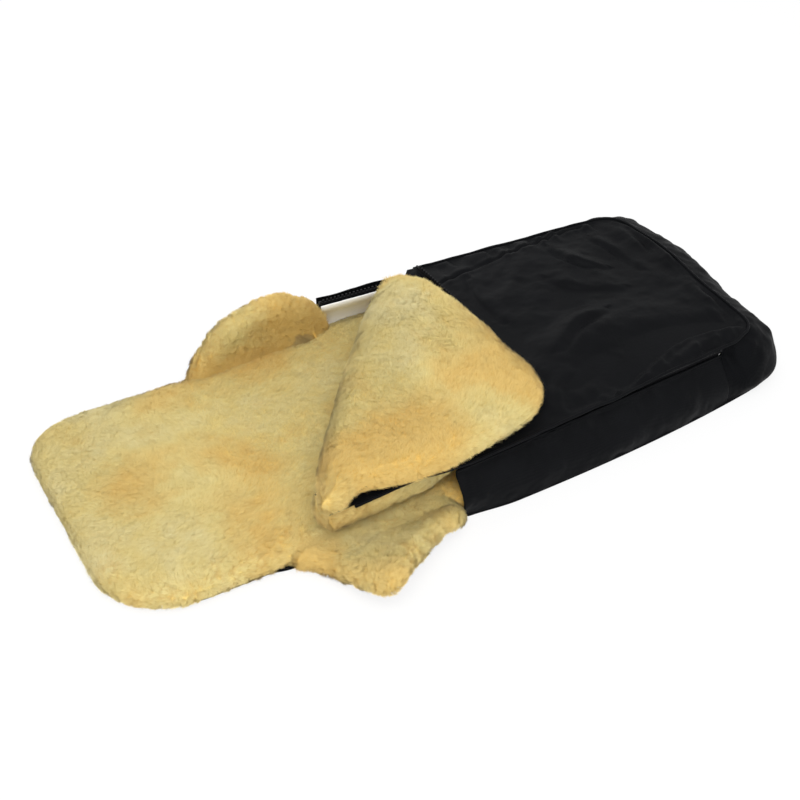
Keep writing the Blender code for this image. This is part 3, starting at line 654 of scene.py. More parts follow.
WOOL = wool_surface()
FIBRE = wool_fibre()
NYLON = nylon_cloth("black_nylon_cloth", 0.055, 0.85)
# A darker copy of the nylon, as painted shade on the foot wall
NYLON_SHADED_TOE = nylon_cloth("black_nylon_toe_painted_shade", 0.035, 0.75)
SATIN = satin_lining()
TAPE = woven_tape()
TEETH = tooth_plastic()
METAL = dull_metal()


# Outlines


def zip_half(x):
    return ZIP_HALF - ZIP_SLOPE * (x - MOUTH_X)


def foot_bow(x, y):
    """How far the foot seam bows out behind its far half."""
    return 0.012 * bell((y - 0.060) / 0.08) * smooth((x - 0.33) / 0.10)


def near_drape(x):
    """How far the cover's near edge hangs out over its zip."""
    p = np.stack((x, np.zeros_like(x), np.zeros_like(x)), axis=-1)
    full = smooth((x + 0.12) / 0.10) * (1 - smooth((x - 0.17) / 0.15))
    rest = smooth((x + 0.12) / 0.05) * (1 - smooth((x - 0.385) / 0.03))
    return 0.0060 * full + (0.0055 + noise(p, 0.036, 213) * 0.0012) * rest


def seam_wave(x, y):
    """Waviness of the corded seam round the cover."""
    p = np.stack((x, y, np.zeros_like(x)), axis=-1)
    return noise(p, 0.016, 211) * 0.0004 + noise(p, 0.045, 212) * 0.0010 + 0.0006


def floor_half(x):
    return FLOOR_HALF - FLOOR_DRAW * np.maximum((x - MOUTH_X) / (FOOT_X - MOUTH_X), 0) ** 2.5


def body_half(x, head, wing, pouch, start, end, head_radius):
    """Half width of the back or the bed at x, with rounded ends."""
    mouth = MOUTH_X + 0.006
    knots = np.array([start - 1, WING_X - 0.020, WING_X - 0.002, WING_X + WING_LENGTH - 0.004, mouth])
    halves = np.array([HEAD_HALF - head, HEAD_HALF - head, WING_HALF - wing, WING_HALF + 0.013 - wing,
                       FLOOR_HALF - pouch])
    half = np.where(x < mouth, np.interp(x, knots, halves), floor_half(x) - pouch)
    for radius, reach in ((head_radius, x - start), (FLOOR_RADIUS, end - x)):
        s = np.clip(reach, 0, radius)
        half -= radius - np.sqrt(np.maximum(radius ** 2 - (radius - s) ** 2, 0))
    return half


def body_plan(n, m, head, wing, pouch, start, end, radii, spread=0.0):
    """Plan grid of the back or the bed; radii are the near and far head corners."""
    x = mix(start, end, crowded(n, 0.35))
    near, far = (body_half(x, head, wing, pouch, start, end, r) for r in radii)
    near = near + spread * smooth((x - MOUTH_X) / 0.08) * np.clip((end - x) / 0.03, 0, 1)
    v = crowded(m, 0.45)
    y = mix(-near[:, None], far[:, None], v[None, :])
    x = np.broadcast_to(x[:, None], y.shape) - HEAD_SLANT * y * smooth((-0.36 - x) / 0.14)[:, None]
    return np.stack((x, y), axis=-1)


# Bed and wings

BED_SPOTS = ((-0.415, 0.005, 0.042, 0.60), (-0.246, -0.018, 0.040, 0.55), (-0.453, 0.130, 0.030, 0.30),
             (-0.339, 0.137, 0.040, 0.25), (-0.190, 0.145, 0.040, 0.35), (-0.170, 0.024, 0.035, 0.30),
             (-0.330, -0.021, 0.050, -0.45), (-0.464, -0.068, 0.040, -0.20), (-0.212, 0.097, 0.050, -0.40),
             (-0.319, 0.085, 0.040, -0.35), (-0.300, -0.170, 0.030, 0.45), (-0.150, 0.190, 0.040, 0.50))
BED_DIMPLES = ((-0.338, 0.176, 0.010, 0.004), (-0.130, 0.120, 0.008, 0.003))


def build_bed():
    plan = body_plan(count(400), count(210), 0.006, 0.012, 0.008, HEAD_X - 0.003, FOOT_X - 0.008, BED_RADII)
    skin = pad(plan, top=0.0305, middle=0.0150, low=BED_Z, rounding=0.026, skirt=0.010)
    x, y = skin.verts[:, 0], skin.verts[:, 1]
    rim = smooth((np.abs(y) / 0.20 - 0.66) / 0.30)
    near = smooth((-y - 0.08) / 0.09)
    head = smooth((-0.42 - x) / 0.06)
    curl = np.clip(0.03 + 0.20 * rim * near + 0.05 * rim + 0.04 * head, 0, 0.8)
    for px, py, radius, depth in BED_DIMPLES:
        dent = depth * np.exp(-((x - px) ** 2 + (y - py) ** 2) / radius ** 2)
        skin.verts[:, 2] -= dent * (skin.verts[:, 2] > 0.012)
    warm = warmth(skin.verts, BED_SPOTS, 301) + 0.18 * rim * near + 0.12 * head
    warm = np.clip(warm, -1, 1)
    wool_piece("bed_fleece", skin, curl, warm, ("back_sheepskin",), "pouch")
    seen = (x < 0.08) * (skin.verts[:, 2] > 0.005)
    upper = x < -0.29
    for name, part, number, seed in (("head_fibres", upper, 150000, 5), ("seat_fibres", ~upper, 140000, 6)):
        fibres(name, skin, part * seen, number, lean=1.08, lock=0.0050, body="pouch", seed=seed)


WING_EDGES = {
    "near": ((0.008, -0.002), (0.030, 0.016), (0.049, 0.050), (0.067, 0.089), (0.084, 0.110),
             (0.103, 0.106), (0.125, 0.089), (0.147, 0.072), (0.168, 0.056), (0.187, 0.047),
             (0.203, 0.042), (0.214, 0.036), (0.220, 0.028), (0.223, 0.016), (0.224, 0.002)),
    "far": ((0.010, 0.000), (0.022, 0.028), (0.041, 0.061), (0.064, 0.087), (0.092, 0.101), (0.126, 0.109),
            (0.160, 0.107), (0.188, 0.090), (0.208, 0.074), (0.226, 0.044), (0.232, 0.020), (0.232, 0.004)),
}


def wing_plan(label, n, m, base, inset):
    """Plan grid of a wing: X along its hinge, Y outward."""
    path = curved(WING_EDGES[label], 8)
    ahead = unit(np.gradient(path, axis=0))
    path = path + np.stack((ahead[:, 1], -ahead[:, 0]), axis=1) * inset
    t = crowded(n, 0.3)
    outer = resampled(path, t)
    inner = np.stack((mix(outer[0, 0] - 0.004, outer[-1, 0] - 0.008, t), np.full(n, base)), axis=1)
    k = crowded(m, 0.3)
    return inner[:, None, :] + (outer - inner)[:, None, :] * k[None, :, None]


def wing_place(verts, side, tilts, bend, lean, steep):
    """Bends a flat wing up about its hinge and sets it in the row frame."""
    x, y, z = verts[:, 0], verts[:, 1], verts[:, 2]
    tilt = mix(tilts[0], tilts[1], smooth(x / WING_LENGTH)) + steep * smooth((x - 0.150) / 0.075)
    s = np.linspace(-0.060, 0.150, 240)
    base = smooth((s - bend[0]) / (bend[1] - bend[0])) + lean * np.maximum(s - bend[1], 0)
    out = np.empty((len(x), 2))
    for chunk in np.array_split(np.argsort(tilt), 80):
        a = tilt[chunk].mean() * base
        middle = (a[1:] + a[:-1]) / 2
        across = np.concatenate(([0], np.cumsum(np.cos(middle) * np.diff(s)))) + s[0]
        up = np.concatenate(([0], np.cumsum(np.sin(middle) * np.diff(s))))
        local = tilt[chunk] * np.interp(y[chunk], s, base)
        out[chunk, 0] = np.interp(y[chunk], s, across) - z[chunk] * np.sin(local)
        out[chunk, 1] = np.interp(y[chunk], s, up) + z[chunk] * np.cos(local)
    c, h = math.cos(WING_HEADING), math.sin(WING_HEADING)
    return np.stack((WING_X + x * c - h * out[:, 0], side * (WING_HALF + x * h + c * out[:, 0]),
                     0.003 + out[:, 1]), axis=-1)


WINGS = {
    "near": dict(place=(-1, (math.radians(10), math.radians(33)), (-0.014, 0.034), 0.0, 0.26), thin=0.0,
                 blend=("pouch", "near_wing", (-0.17, -0.196, 0.01), (-0.17, -0.226, 0.01)),
                 spots=((-0.17, -0.25, 0.06, -0.30), (-0.25, -0.22, 0.03, 0.40)), lean_out=0.95),
    "far": dict(place=(1, (math.radians(97), math.radians(97)), (-0.034, 0.014), 1.0, 0.0), thin=0.0040,
                blend=("pouch", "far_wing", (-0.17, 0.205, 0.006), (-0.17, 0.205, 0.036)),
                spots=((-0.17, 0.21, 0.12, 0.20),), lean_out=1.0),
}


def build_wing(label):
    w = WINGS[label]
    place, blend, near = w["place"], w["blend"], label == "near"
    plan = wing_plan(label, count(220), count(130), -0.048, 0.0)
    top = 0.0240 - w["thin"] * smooth((plan[..., 0].ravel() - 0.190) / 0.030)
    skin = pad(plan, top, middle=0.0105, low=0.0004, rounding=0.021, skirt=0.008)
    out = smooth((skin.verts[:, 1] - 0.004) / 0.03)
    shown = (skin.verts[:, 1] > -0.047) * (skin.verts[:, 2] > 0.001)
    skin.verts = wing_place(skin.verts, *place)
    if near:
        skin.quads, skin.base = skin.quads[:, ::-1], skin.base[:, ::-1]
    curl = 0.10 + 0.13 * out
    warm = warmth(skin.verts, w["spots"], 311) + 0.15
    # Painted shade: the far wing's wool turns amber towards its base, in the crease where it meets the bed
    if not near:
        warm += 0.60 * (1 - smooth((skin.verts[:, 2] - 0.020) / 0.050))
    warm = np.clip(warm, -1, 1)
    wool_piece(label + "_wing_fleece", skin, curl, warm, (label + "_wing_sheepskin",), blend=blend)
    fibres(label + "_wing_fibres", skin, shown, 70000, w["lean_out"], lock=0.0055, blend=blend, seed=7)
    plan = wing_plan(label, count(60), count(40), -0.024, 0.012)
    flat = plan.reshape(-1, 2)
    bumps = layered(np.column_stack((flat, np.zeros(len(flat)))), 0.035, 3, 91) * 0.0008
    cloth = wing_place(np.column_stack((flat, bumps - 0.0014)), *place)
    solid_sheet(label + "_wing_cloth", cloth.reshape(*plan.shape[:2], 3), 0.0008, NYLON,
                (label + "_wing_shell",), blend=blend)


# Cloth


def solid_sheet(name, grid, thickness, look, replaced=(), body=None, blend=None, offset=0.0, up=None):
    """Closed sheet of cloth round a grid of points; offset is towards up."""
    n, m = grid.shape[:2]
    normals = point_normals(grid.reshape(-1, 3), grid_faces(n, m))
    if up is not None and np.mean(normals @ np.array(up)) < 0:
        grid = grid[::-1]
        normals = point_normals(grid.reshape(-1, 3), grid_faces(n, m))
    flat = grid.reshape(-1, 3)
    half = thickness / 2
    verts = np.vstack((flat + normals * (offset + half), flat + normals * (offset - half)))
    index = border_index(n, m)
    ahead = np.roll(index, -1)
    rim = np.stack((index, ahead, ahead + n * m, index + n * m), axis=1)
    faces = np.vstack((grid_faces(n, m), grid_faces(n, m, n * m)[:, ::-1], rim))
    piece = make(name, verts, faces, look, None)
    if replaced:
        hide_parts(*replaced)
    joined(piece, body, blend)
    return piece


def tube(name, path, radius, look, body, replaced=(), around=10):
    """Corded seam along a line of points."""
    path = np.asarray(path, float)
    tangent = np.gradient(path, axis=0)
    tangent /= np.linalg.norm(tangent, axis=1, keepdims=True)
    side = np.cross(tangent, (0, 0, 1.0))
    side /= np.linalg.norm(side, axis=1, keepdims=True)
    up = np.cross(side, tangent)
    turn = np.linspace(0, 2 * math.pi, around, endpoint=False)
    rings = (path[:, None, :] + side[:, None, :] * np.cos(turn)[None, :, None] * radius
             + up[:, None, :] * np.sin(turn)[None, :, None] * radius)
    n = len(path)
    i = np.arange(n * around).reshape(n, around)
    j = np.roll(i, -1, axis=1)
    faces = np.stack((i[:-1], j[:-1], j[1:], i[1:]), axis=-1).reshape(-1, 4)
    faces = [faces[:, ::-1], i[:1], i[-1:, ::-1]]
    piece = make(name, rings.reshape(-1, 3), faces, look, body)
    if replaced:
        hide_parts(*replaced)
    return piece


def wall_paths(n_side, n_corner, n_foot):
    """Floor line, top line, outward normals, toe share and toe bulge round the pouch."""
    lines = []
    for half, foot_x, radius, spread in ((floor_half, FOOT_X, FLOOR_RADIUS, NEAR_SPREAD),
                                         (lambda x: zip_half(x) + 0.0029, COVER_END_X, COVER_RADIUS, 0.0)):
        corner_x = foot_x - radius
        split = int(n_side * 0.84)
        x = np.concatenate((np.linspace(MOUTH_X, ZIP_END_X, split, endpoint=False),
                            np.linspace(ZIP_END_X, corner_x, n_side - split, endpoint=False)))
        turn = np.linspace(0, math.pi / 2, n_corner)
        halves = []
        for more in (spread, 0.0):
            straight = np.stack((x, half(x) + more * smooth((x - MOUTH_X) / 0.08)), axis=1)
            end = half(corner_x) + more
            arc = np.stack((corner_x + radius * np.sin(turn), end - radius + radius * np.cos(turn)), axis=1)
            halves.append(np.vstack((straight, arc)))
        near, far = halves
        foot = np.linspace(-near[-1, 1], far[-1, 1], n_foot + 2)[1:-1]
        foot = np.stack((np.full(n_foot, foot_x), foot), axis=1)
        lines.append(np.vstack((near * (1, -1), foot, far[::-1])))
    floor, top = lines
    top[:, 0] += foot_bow(top[:, 0], top[:, 1])
    ahead = np.gradient(top, axis=0)
    for _ in range(8):
        ahead[1:-1] = (ahead[:-2] + 2 * ahead[1:-1] + ahead[2:]) / 4
    ahead /= np.linalg.norm(ahead, axis=1, keepdims=True)
    outward = np.stack((ahead[:, 1], -ahead[:, 0]), axis=1)
    total = len(top)
    near_end, far_end = np.arange(total), total - 1 - np.arange(total)
    toe = np.minimum(smooth((near_end - n_side * 0.90) / (n_corner * 1.2)),
                     smooth((far_end - n_side * 0.86) / (n_side * 0.14 + n_corner * 0.45)))
    bulge = mix(0.030, 0.043, smooth((near_end - n_side - n_corner * 0.3) / (0.62 * n_foot + n_corner)))
    return floor, top, outward, toe, bulge


def wall_grid(paths, heights, inward):
    floor, top, outward, toe, bulge = paths
    rows = []
    for z in heights:
        side_share = min((z - BED_Z) / (TAPE_FOOT_Z - BED_Z), 1.0)
        toe_share = (z - BED_Z) / (WALL_TOP_Z - BED_Z)
        side = mix(floor, top, side_share) + outward * SIDE_BULGE * math.sin(math.pi * side_share)
        full = (1 - abs(2 * toe_share - 1) ** 3.6) * (0.80 + 0.20 * float(smooth(toe_share / 0.7)))
        end = mix(floor, top, toe_share) + outward * bulge[:, None] * full
        point = side + (end - side) * toe[:, None] - outward * inward
        rows.append(np.column_stack((point, np.full(len(point), z))))
    return np.stack(rows, axis=1)


WALLS = ("near_gusset", "foot_wall", "far_gusset")


def wall_parts(paths, split, skip=0):
    """Paths along each wall of the pouch, which meet at the ends of the zips."""
    total = len(paths[0])
    ends = ((skip, split + 1), (split, total - split), (total - split - 1, total))
    return {wall: tuple(values[first:last] for values in paths) for wall, (first, last) in zip(WALLS, ends)}


def level_out(part):
    """Outward normals of a wall, level and one for each column of its grid."""
    return np.concatenate((part[2], np.zeros((len(part[2]), 1))), axis=1)[:, None, :]


def build_shells(parts):
    for wall, part in parts.items():
        toe = wall == "foot_wall"
        high = WALL_TOP_Z if toe else GUSSET_TOP_Z
        grid = wall_grid(part, mix(BED_Z, high, crowded(count(46), 0.3)), 0.0012)
        up = (grid[..., 2] - BED_Z) / (high - BED_Z)
        waves = layered(grid * (1.0, 1.0, 0.45), 0.060, 2, 101) * 0.0046 * np.sin(np.pi * up)
        pucker = noise(grid * (1.0, 1.0, 0.12), 0.014, 105) * 0.0040 * smooth((up - 0.45) / 0.4)
        crumple = layered(grid, 0.026, 3, 111) * 0.0015
        grid = grid + level_out(part) * np.maximum(waves + pucker + crumple, -0.0020)[..., None]
        # The foot wall gets the darker nylon copy as painted shade
        look = NYLON_SHADED_TOE if toe else NYLON
        solid_sheet(wall + "_cloth", grid, 0.0016, look, (wall + "_shell",), "pouch")


def build_linings(parts):
    for wall, part in parts.items():
        far = wall == "far_gusset"
        grid = wall_grid(part, mix(BED_Z, 0.067, crowded(count(24), 0.2)), 0.0054)
        if far:
            open_part = 1 - smooth((grid[..., 0] - 0.066) / 0.018)
            grid[..., 2] += 0.0078 * open_part * smooth((grid[..., 2] - 0.040) / 0.027)
        rise = np.maximum(layered(grid * (1, 1, 0.3), 0.030, 2, 121) + 0.6, 0) * 0.0008
        rise += 0.0056 * smooth((grid[..., 2] - 0.046) / 0.016) * far
        grid = grid - level_out(part) * rise[..., None]
        solid_sheet(wall + "_lining_cloth", grid, 0.0006, SATIN, (wall + "_lining",), "pouch")


def build_walls():
    n_side = count(190)
    paths = wall_paths(n_side, count(40), count(90))
    split = int(n_side * 0.84)
    build_shells(wall_parts(paths, split))
    build_linings(wall_parts(paths, split, int(n_side * 0.035)))
    hem = wall_grid(tuple(values[:split] for values in paths), [GUSSET_TOP_Z + 0.0004], 0.0)[:, 0]
    for label, side in (("near", 1), ("far", -1)):
        path = hem * (1, side, 1)
        wave = noise(path, 0.034, 141) * 0.0008 + noise(path, 0.012, 142) * 0.0004
        path[:, 1] -= side * np.abs(wave)
        path[:, 2] += wave
        tube(label + "_gusset_hem", path[::2], 0.0018, NYLON, "pouch")


def build_zip_guard():
    """Strip of cloth that stands behind the open end of the far zip."""
    x = np.linspace(MOUTH_X - 0.001, 0.078, count(90))
    high = mix(0.0640, 0.0800, crowded(count(16), 0.2))
    grid = np.stack(np.broadcast_arrays(x[:, None], zip_half(x)[:, None] + 0.0075, high[None, :]), axis=-1)
    sway = noise(grid * (1, 1, 0.2), 0.030, 151) * 0.0014
    share = (grid[..., 2] - 0.064) / 0.0160
    grid = np.stack((grid[..., 0], grid[..., 1] + sway * share, grid[..., 2] + sway * 0.8 * share), axis=-1)
    solid_sheet("far_zip_guard", grid, 0.0012, NYLON, (), "pouch")


def build_back():
    plan = body_plan(count(150), count(60), 0.010, 0.010, 0.0, HEAD_X + 0.012, FOOT_X, BACK_RADII,
                     NEAR_SPREAD)
    skin = pad(plan, top=0.0030, middle=0.0015, low=0.0, rounding=0.0016, skirt=0.0016, rings=4)
    skin.verts[:, 2] += noise(skin.verts, 0.03, 131) * 0.0002 * (skin.verts[:, 2] > 0.001)
    piece = make("back_cloth", skin.verts, [skin.quads, skin.base], NYLON, None)
    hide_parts("back_shell")
    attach(piece, "pouch")


# Cover and folded corner


def past_crease(points):
    """Distance of points behind the crease, towards the foot."""
    return (points[..., :2] - CREASE_NEAR) @ (-AWAY)


def cover_top(x, y):
    """Height of the flat cover, which sinks towards its seams."""
    across = np.minimum(np.abs(y) / zip_half(x), 1.0)
    fade = smooth((COVER_FOOT_X - x) / (COVER_FOOT_X - MOUTH_X) / 0.4)
    return COVER_EDGE_Z + COVER_RISE * (1 - across ** 4) * fade


def cover_plan(edge, start, n, m, drape=0.0):
    """Plan grid of the cover: rows across, columns from the crease to the foot seam."""
    v = crowded(n, 0.45) * 2 - 1
    slope, taper = math.tan(CREASE), ZIP_SLOPE
    base = CREASE_FAR[0] + (0.0 - CREASE_FAR[1]) / slope + start / math.sin(CREASE)
    width = zip_half(0.0) - edge
    crease_x = (v * width + slope * base) / (slope + v * taper)
    crease_x += 0.030 * smooth((-v - 0.84) / 0.16) ** 1.5
    end = COVER_END_X - edge
    u = crowded(m, 0.25)
    arc = int(m * 0.12)
    x_line = end - COVER_RADIUS
    rows = []
    for share, cx in zip(v, crease_x):
        x = mix(cx, x_line, u[:m - arc] / u[m - arc - 1])
        line = np.stack((x, share * (zip_half(x) - edge)), axis=1)
        turn = np.linspace(0, math.pi / 2, arc + 1)[1:]
        ax = x_line + COVER_RADIUS * np.sin(turn)
        half = zip_half(x_line) - edge - COVER_RADIUS + COVER_RADIUS * np.cos(turn)
        rows.append(np.vstack((line, np.stack((ax, share * half), axis=1))))
    rows = np.array(rows)
    rows[..., 0] += foot_bow(rows[..., 0], rows[..., 1])
    rows[..., 1] -= drape * near_drape(rows[..., 0]) * smooth((-v - 0.5) / 0.5)[:, None] ** 1.5
    return rows


FOLDS = (
    ((0.200, -0.188), (0.330, -0.136), (0.445, -0.156), -0.0070, 0.013, 0.048),
    ((0.140, -0.100), (0.240, -0.070), (0.390, -0.085), 0.0068, 0.055, 0.060),
    ((0.270, -0.184), (0.350, -0.163), (0.430, -0.166), 0.0060, 0.016, 0.018),
    ((0.170, -0.080), (0.216, -0.050), (0.268, -0.040), 0.0062, 0.014, 0.030),
    ((0.150, 0.112), (0.138, 0.066), (0.142, 0.010), 0.0042, 0.010, 0.022),
    ((0.300, 0.132), (0.312, 0.086), (0.342, 0.058), 0.0046, 0.011, 0.022),
    ((0.255, 0.060), (0.280, 0.028), (0.330, 0.004), 0.0038, 0.014, 0.030),
    ((0.372, 0.130), (0.385, 0.088), (0.392, 0.030), 0.0034, 0.010, 0.020),
    ((0.105, -0.186), (0.125, -0.150), (0.158, -0.128), 0.0036, 0.010, 0.018),
)


def fold_relief(p):
    """Folds in the cover: steep on one side, falling slowly on the other."""
    total = np.zeros(p.shape[:-1])
    for a, b, c, height, steep, wide in FOLDS:
        line = curved((a, b, c), 10)
        best = np.full(p.shape[:-1], 9.0)
        sign, station = np.zeros(p.shape[:-1]), np.zeros(p.shape[:-1])
        for k, (s, e) in enumerate(zip(line, line[1:])):
            d = e - s
            t = np.clip(((p[..., :2] - s) @ d) / (d @ d), 0, 1)
            off = p[..., :2] - (s + t[..., None] * d)
            r = np.linalg.norm(off, axis=-1)
            nearer = r < best
            best = np.where(nearer, r, best)
            sign = np.where(nearer, np.sign(d[0] * off[..., 1] - d[1] * off[..., 0]), sign)
            station = np.where(nearer, (k + t) / (len(line) - 1), station)
        body = np.sin(np.pi * np.clip(0.08 + 0.84 * station, 0, 1)) ** 0.7
        rise = np.where(sign > 0, (1 - smooth(best / wide)), (1 - smooth(best / steep)))
        groove = -0.5 * bell((best - steep * 0.95) / (steep * 0.45)) * (sign <= 0)
        total += height * body * (rise + groove)
    return total


def cloth_relief(grid, edge_distance, seed):
    """Puckers along the seams and a soft crumple over the rest."""
    p = np.concatenate((grid[..., :2], np.zeros(grid.shape[:-1] + (1,))), axis=-1)
    pucker = noise(p * (1.0, 0.30, 1.0), 0.012, seed) * 0.0048 * (1 - smooth(edge_distance / 0.050))
    pucker *= smooth(edge_distance / 0.004)
    soft = layered(p, 0.060, 3, seed + 3) * 0.0030
    fine = layered(p * (1.0, 1.4, 1.0), 0.016, 2, seed + 7) * 0.00035
    return pucker + soft + fine


FAR_STITCH = ((-0.05, 0.108), (0.0907, 0.130), (0.170, 0.144), (0.2533, 0.1564), (0.330, 0.1645),
              (0.395, 0.1695))


def build_cover():
    plan = cover_plan(-0.0030, 0.0015, count(190), count(240), 1.0)
    x, y = plan[..., 0], plan[..., 1]
    edge = outline_data(plan).distance.reshape(plan.shape[:2])
    edge = np.where(past_crease(plan) < 0.010, 0.05, edge)
    z = cover_top(x, y)
    grid = np.stack((x, y, z), axis=-1)
    clear = smooth((x - 0.080) / 0.05)
    inside = smooth(edge / 0.012)
    line = curved(FAR_STITCH, 8)
    aside = y - np.interp(x, line[:, 0], line[:, 1])
    stitch = -0.0026 * bell(aside / 0.0024) + 0.0012 * bell((np.abs(aside) - 0.007) / 0.005)
    stitch += noise(grid * (1.0, 0.25, 0), 0.010, 261) * 0.0013 * bell(aside / 0.020)
    stitch *= 1 - smooth((x - 0.36) / 0.05)
    lift = fold_relief(grid) + np.maximum(cloth_relief(grid, edge, 201), -0.0022) + stitch
    seam = WALL_TOP_Z + 0.0019 + seam_wave(x, y)
    z = z + np.maximum(lift, -0.0026) * clear * inside
    grid[..., 2] = mix(seam, z, smooth(edge / 0.007))
    solid_sheet("cover_cloth", grid, 0.0014, NYLON, ("cover_shell",), "pouch", offset=-0.0004,
                up=(0, 0, 1))
    build_cover_piping()


def build_cover_piping():
    out = 0.0030
    start = CREASE_NEAR + np.array((0.062, -out))
    end_x = COVER_END_X + out
    corner = zip_half(end_x) + out
    finish = np.array((CREASE_FAR[0] + 0.008, zip_half(CREASE_FAR[0] + 0.008) + out))
    path = rounded([start, (end_x, -corner), (end_x, corner), finish], (COVER_RADIUS, COVER_RADIUS), 30)
    path = resampled(path, np.linspace(0, 1, count(420)))
    path[:, 0] += foot_bow(path[:, 0], path[:, 1])
    path[:, 1] -= near_drape(path[:, 0]) * smooth((-path[:, 1] / zip_half(path[:, 0]) - 0.5) / 0.5) ** 1.5
    path = np.column_stack((path, WALL_TOP_Z + 0.0023 + seam_wave(path[:, 0], path[:, 1])))
    tube("cover_piping_cord", path, 0.0021, NYLON, "pouch", ("cover_piping",))


def build_cover_fleece():
    """Wool under the cover, seen in the mouth and along its near edge."""
    plan = cover_plan(0.006, -0.004, count(150), count(190))
    near = smooth((-0.072 - plan[..., 0]) / 0.03) * smooth((-plan[..., 1] - 0.13) / 0.06)
    plan[..., 1] -= 0.004 * near
    skin = pad(plan, top=0.0215, middle=0.0090, low=0.0002, rounding=0.020, skirt=0.008)
    lip = smooth((-0.040 - skin.verts[:, 0]) / 0.05) * smooth((-skin.verts[:, 1] - 0.125) / 0.05)
    hang = skin.verts[:, 2] * (1 + 0.85 * lip)
    skin.verts[:, 2] = cover_top(skin.verts[:, 0], skin.verts[:, 1]) - 0.0034 - hang
    skin.quads, skin.base = skin.quads[:, ::-1], skin.base[:, ::-1]
    curl = 0.10 + 0.08 * lip
    warm = warmth(skin.verts, (), 321)
    wool_piece("cover_fleece", skin, curl, warm, ("cover_sheepskin",), "pouch")
    weight = (skin.verts[:, 0] < 0.06) * (0.10 + smooth((-skin.verts[:, 1] - 0.150) / 0.025))
    weight *= skin.verts[:, 2] < 0.0815
    fibres("cover_fibres", skin, weight, 40000, lean=0.9, lock=0.005, seed=8, body="pouch",
           lowest=lambda v: 0.010)


CREASE_SIDE = ((-0.2455, -0.2200), (-0.226, -0.173), (-0.177, -0.097), (-0.093, 0.018), (-0.006, 0.121),
               (0.034, 0.160))
OUTER_SIDE = ((-0.2400, -0.2270), (-0.2200, -0.2250), (-0.1940, -0.2090), (-0.1650, -0.2110),
              (-0.1380, -0.2180), (-0.1000, -0.2210), (-0.060, -0.2190), (0.010, -0.2040), (0.056, -0.190),
              (0.086, -0.166), (0.097, -0.125), (0.094, -0.070), (0.092, 0.005), (0.080, 0.088),
              (0.070, 0.132), (0.054, 0.158))
FLAP_SPOTS = ((-0.156, -0.175, 0.050, 0.75), (-0.083, -0.158, 0.050, 0.55), (0.039, -0.104, 0.050, 0.50),
              (0.050, -0.175, 0.030, 0.25), (0.017, 0.069, 0.070, -0.60), (-0.016, -0.040, 0.050, -0.30),
              (-0.043, -0.029, 0.050, -0.30))
FLAP_BLEND = ("pouch", "flap", (-0.0877, -0.0106, 0.0920), (-0.0877, -0.0106, 0.0980))


def nylon_height(points):
    """Height of the folded corner's nylon at points, from where it lies when closed."""
    flat = np.concatenate((points[..., :2], np.full(points.shape[:-1] + (1,), HINGE_Z)), axis=-1)
    closed = folded(flat)
    return 2 * HINGE_Z - cover_top(closed[..., 0], closed[..., 1])


def build_flap_fleece():
    """Wool of the folded corner, with the roll where it turns over the crease."""
    n, m = count(240), count(200)
    t = crowded(n, 0.35)
    inner = resampled(curved(CREASE_SIDE), t)
    outer = resampled(curved(OUTER_SIDE), t)
    k = crowded(m, 0.40)
    plan = inner[:, None, :] + (outer - inner)[:, None, :] * k[None, :, None]
    index = border_index(n, m)
    row = index // m
    roll = (index % m == 0) * smooth(row / (n * 0.10)) * smooth((n - 1 - row) / (n * 0.08))
    for _ in range(30):
        roll = (np.roll(roll, 1) + 2 * roll + np.roll(roll, -1)) / 4
    under = nylon_height(plan.reshape(-1, 2)[index]) + 0.0024
    skin = pad(plan, top=0.1225, middle=mix(under + 0.0070, 0.0975, roll), low=mix(under, 0.0712, roll),
               rounding=mix(0.022, 0.026, roll), skirt=mix(0.008, 0.022, roll),
               inner=(0.1060, 0.010), rings=12)
    verts = skin.verts
    deep = past_crease(verts)
    swell = 0.0022 * bell((deep - 0.045) / 0.05)
    swell += layered(verts * (1, 1, 0), 0.11, 2, 221) * 0.0012
    swell -= 0.0100 * smooth((verts[:, 1] - 0.100) / 0.06)
    high = smooth((verts[:, 2] - 0.105) / 0.014)
    verts[:, 2] += swell * high
    flat = deep > -0.002
    curl = np.clip(0.03 + 0.08 * (1 - high) + 0.04 * smooth((-verts[:, 1] - 0.12) / 0.06), 0, 0.6)
    warm = np.clip(warmth(verts, FLAP_SPOTS, 331) + 0.22, -1, 1)
    wool_piece("flap_fleece", skin, curl, warm, ("flap_sheepskin",), blend=FLAP_BLEND,
               lowest=np.where(flat, nylon_height(verts) + 0.0020, 0.0))
    verts = skin.verts
    weight = (verts[:, 2] > 0.1005) * (1.0 + 0.9 * (verts[:, 2] < 0.116))
    weight += (verts[:, 2] > 0.075) * (deep < 0.0) * 0.9
    weight[-2 * skin.ring:] = 0

    def lowest(v):
        return np.where(past_crease(v) > -0.004, nylon_height(v) + 0.0016, 0.050)

    fibres("flap_fibres", skin, weight, 135000, lean=0.98, lock=0.0056, seed=9, blend=FLAP_BLEND,
           length=0.0100, lowest=lowest)


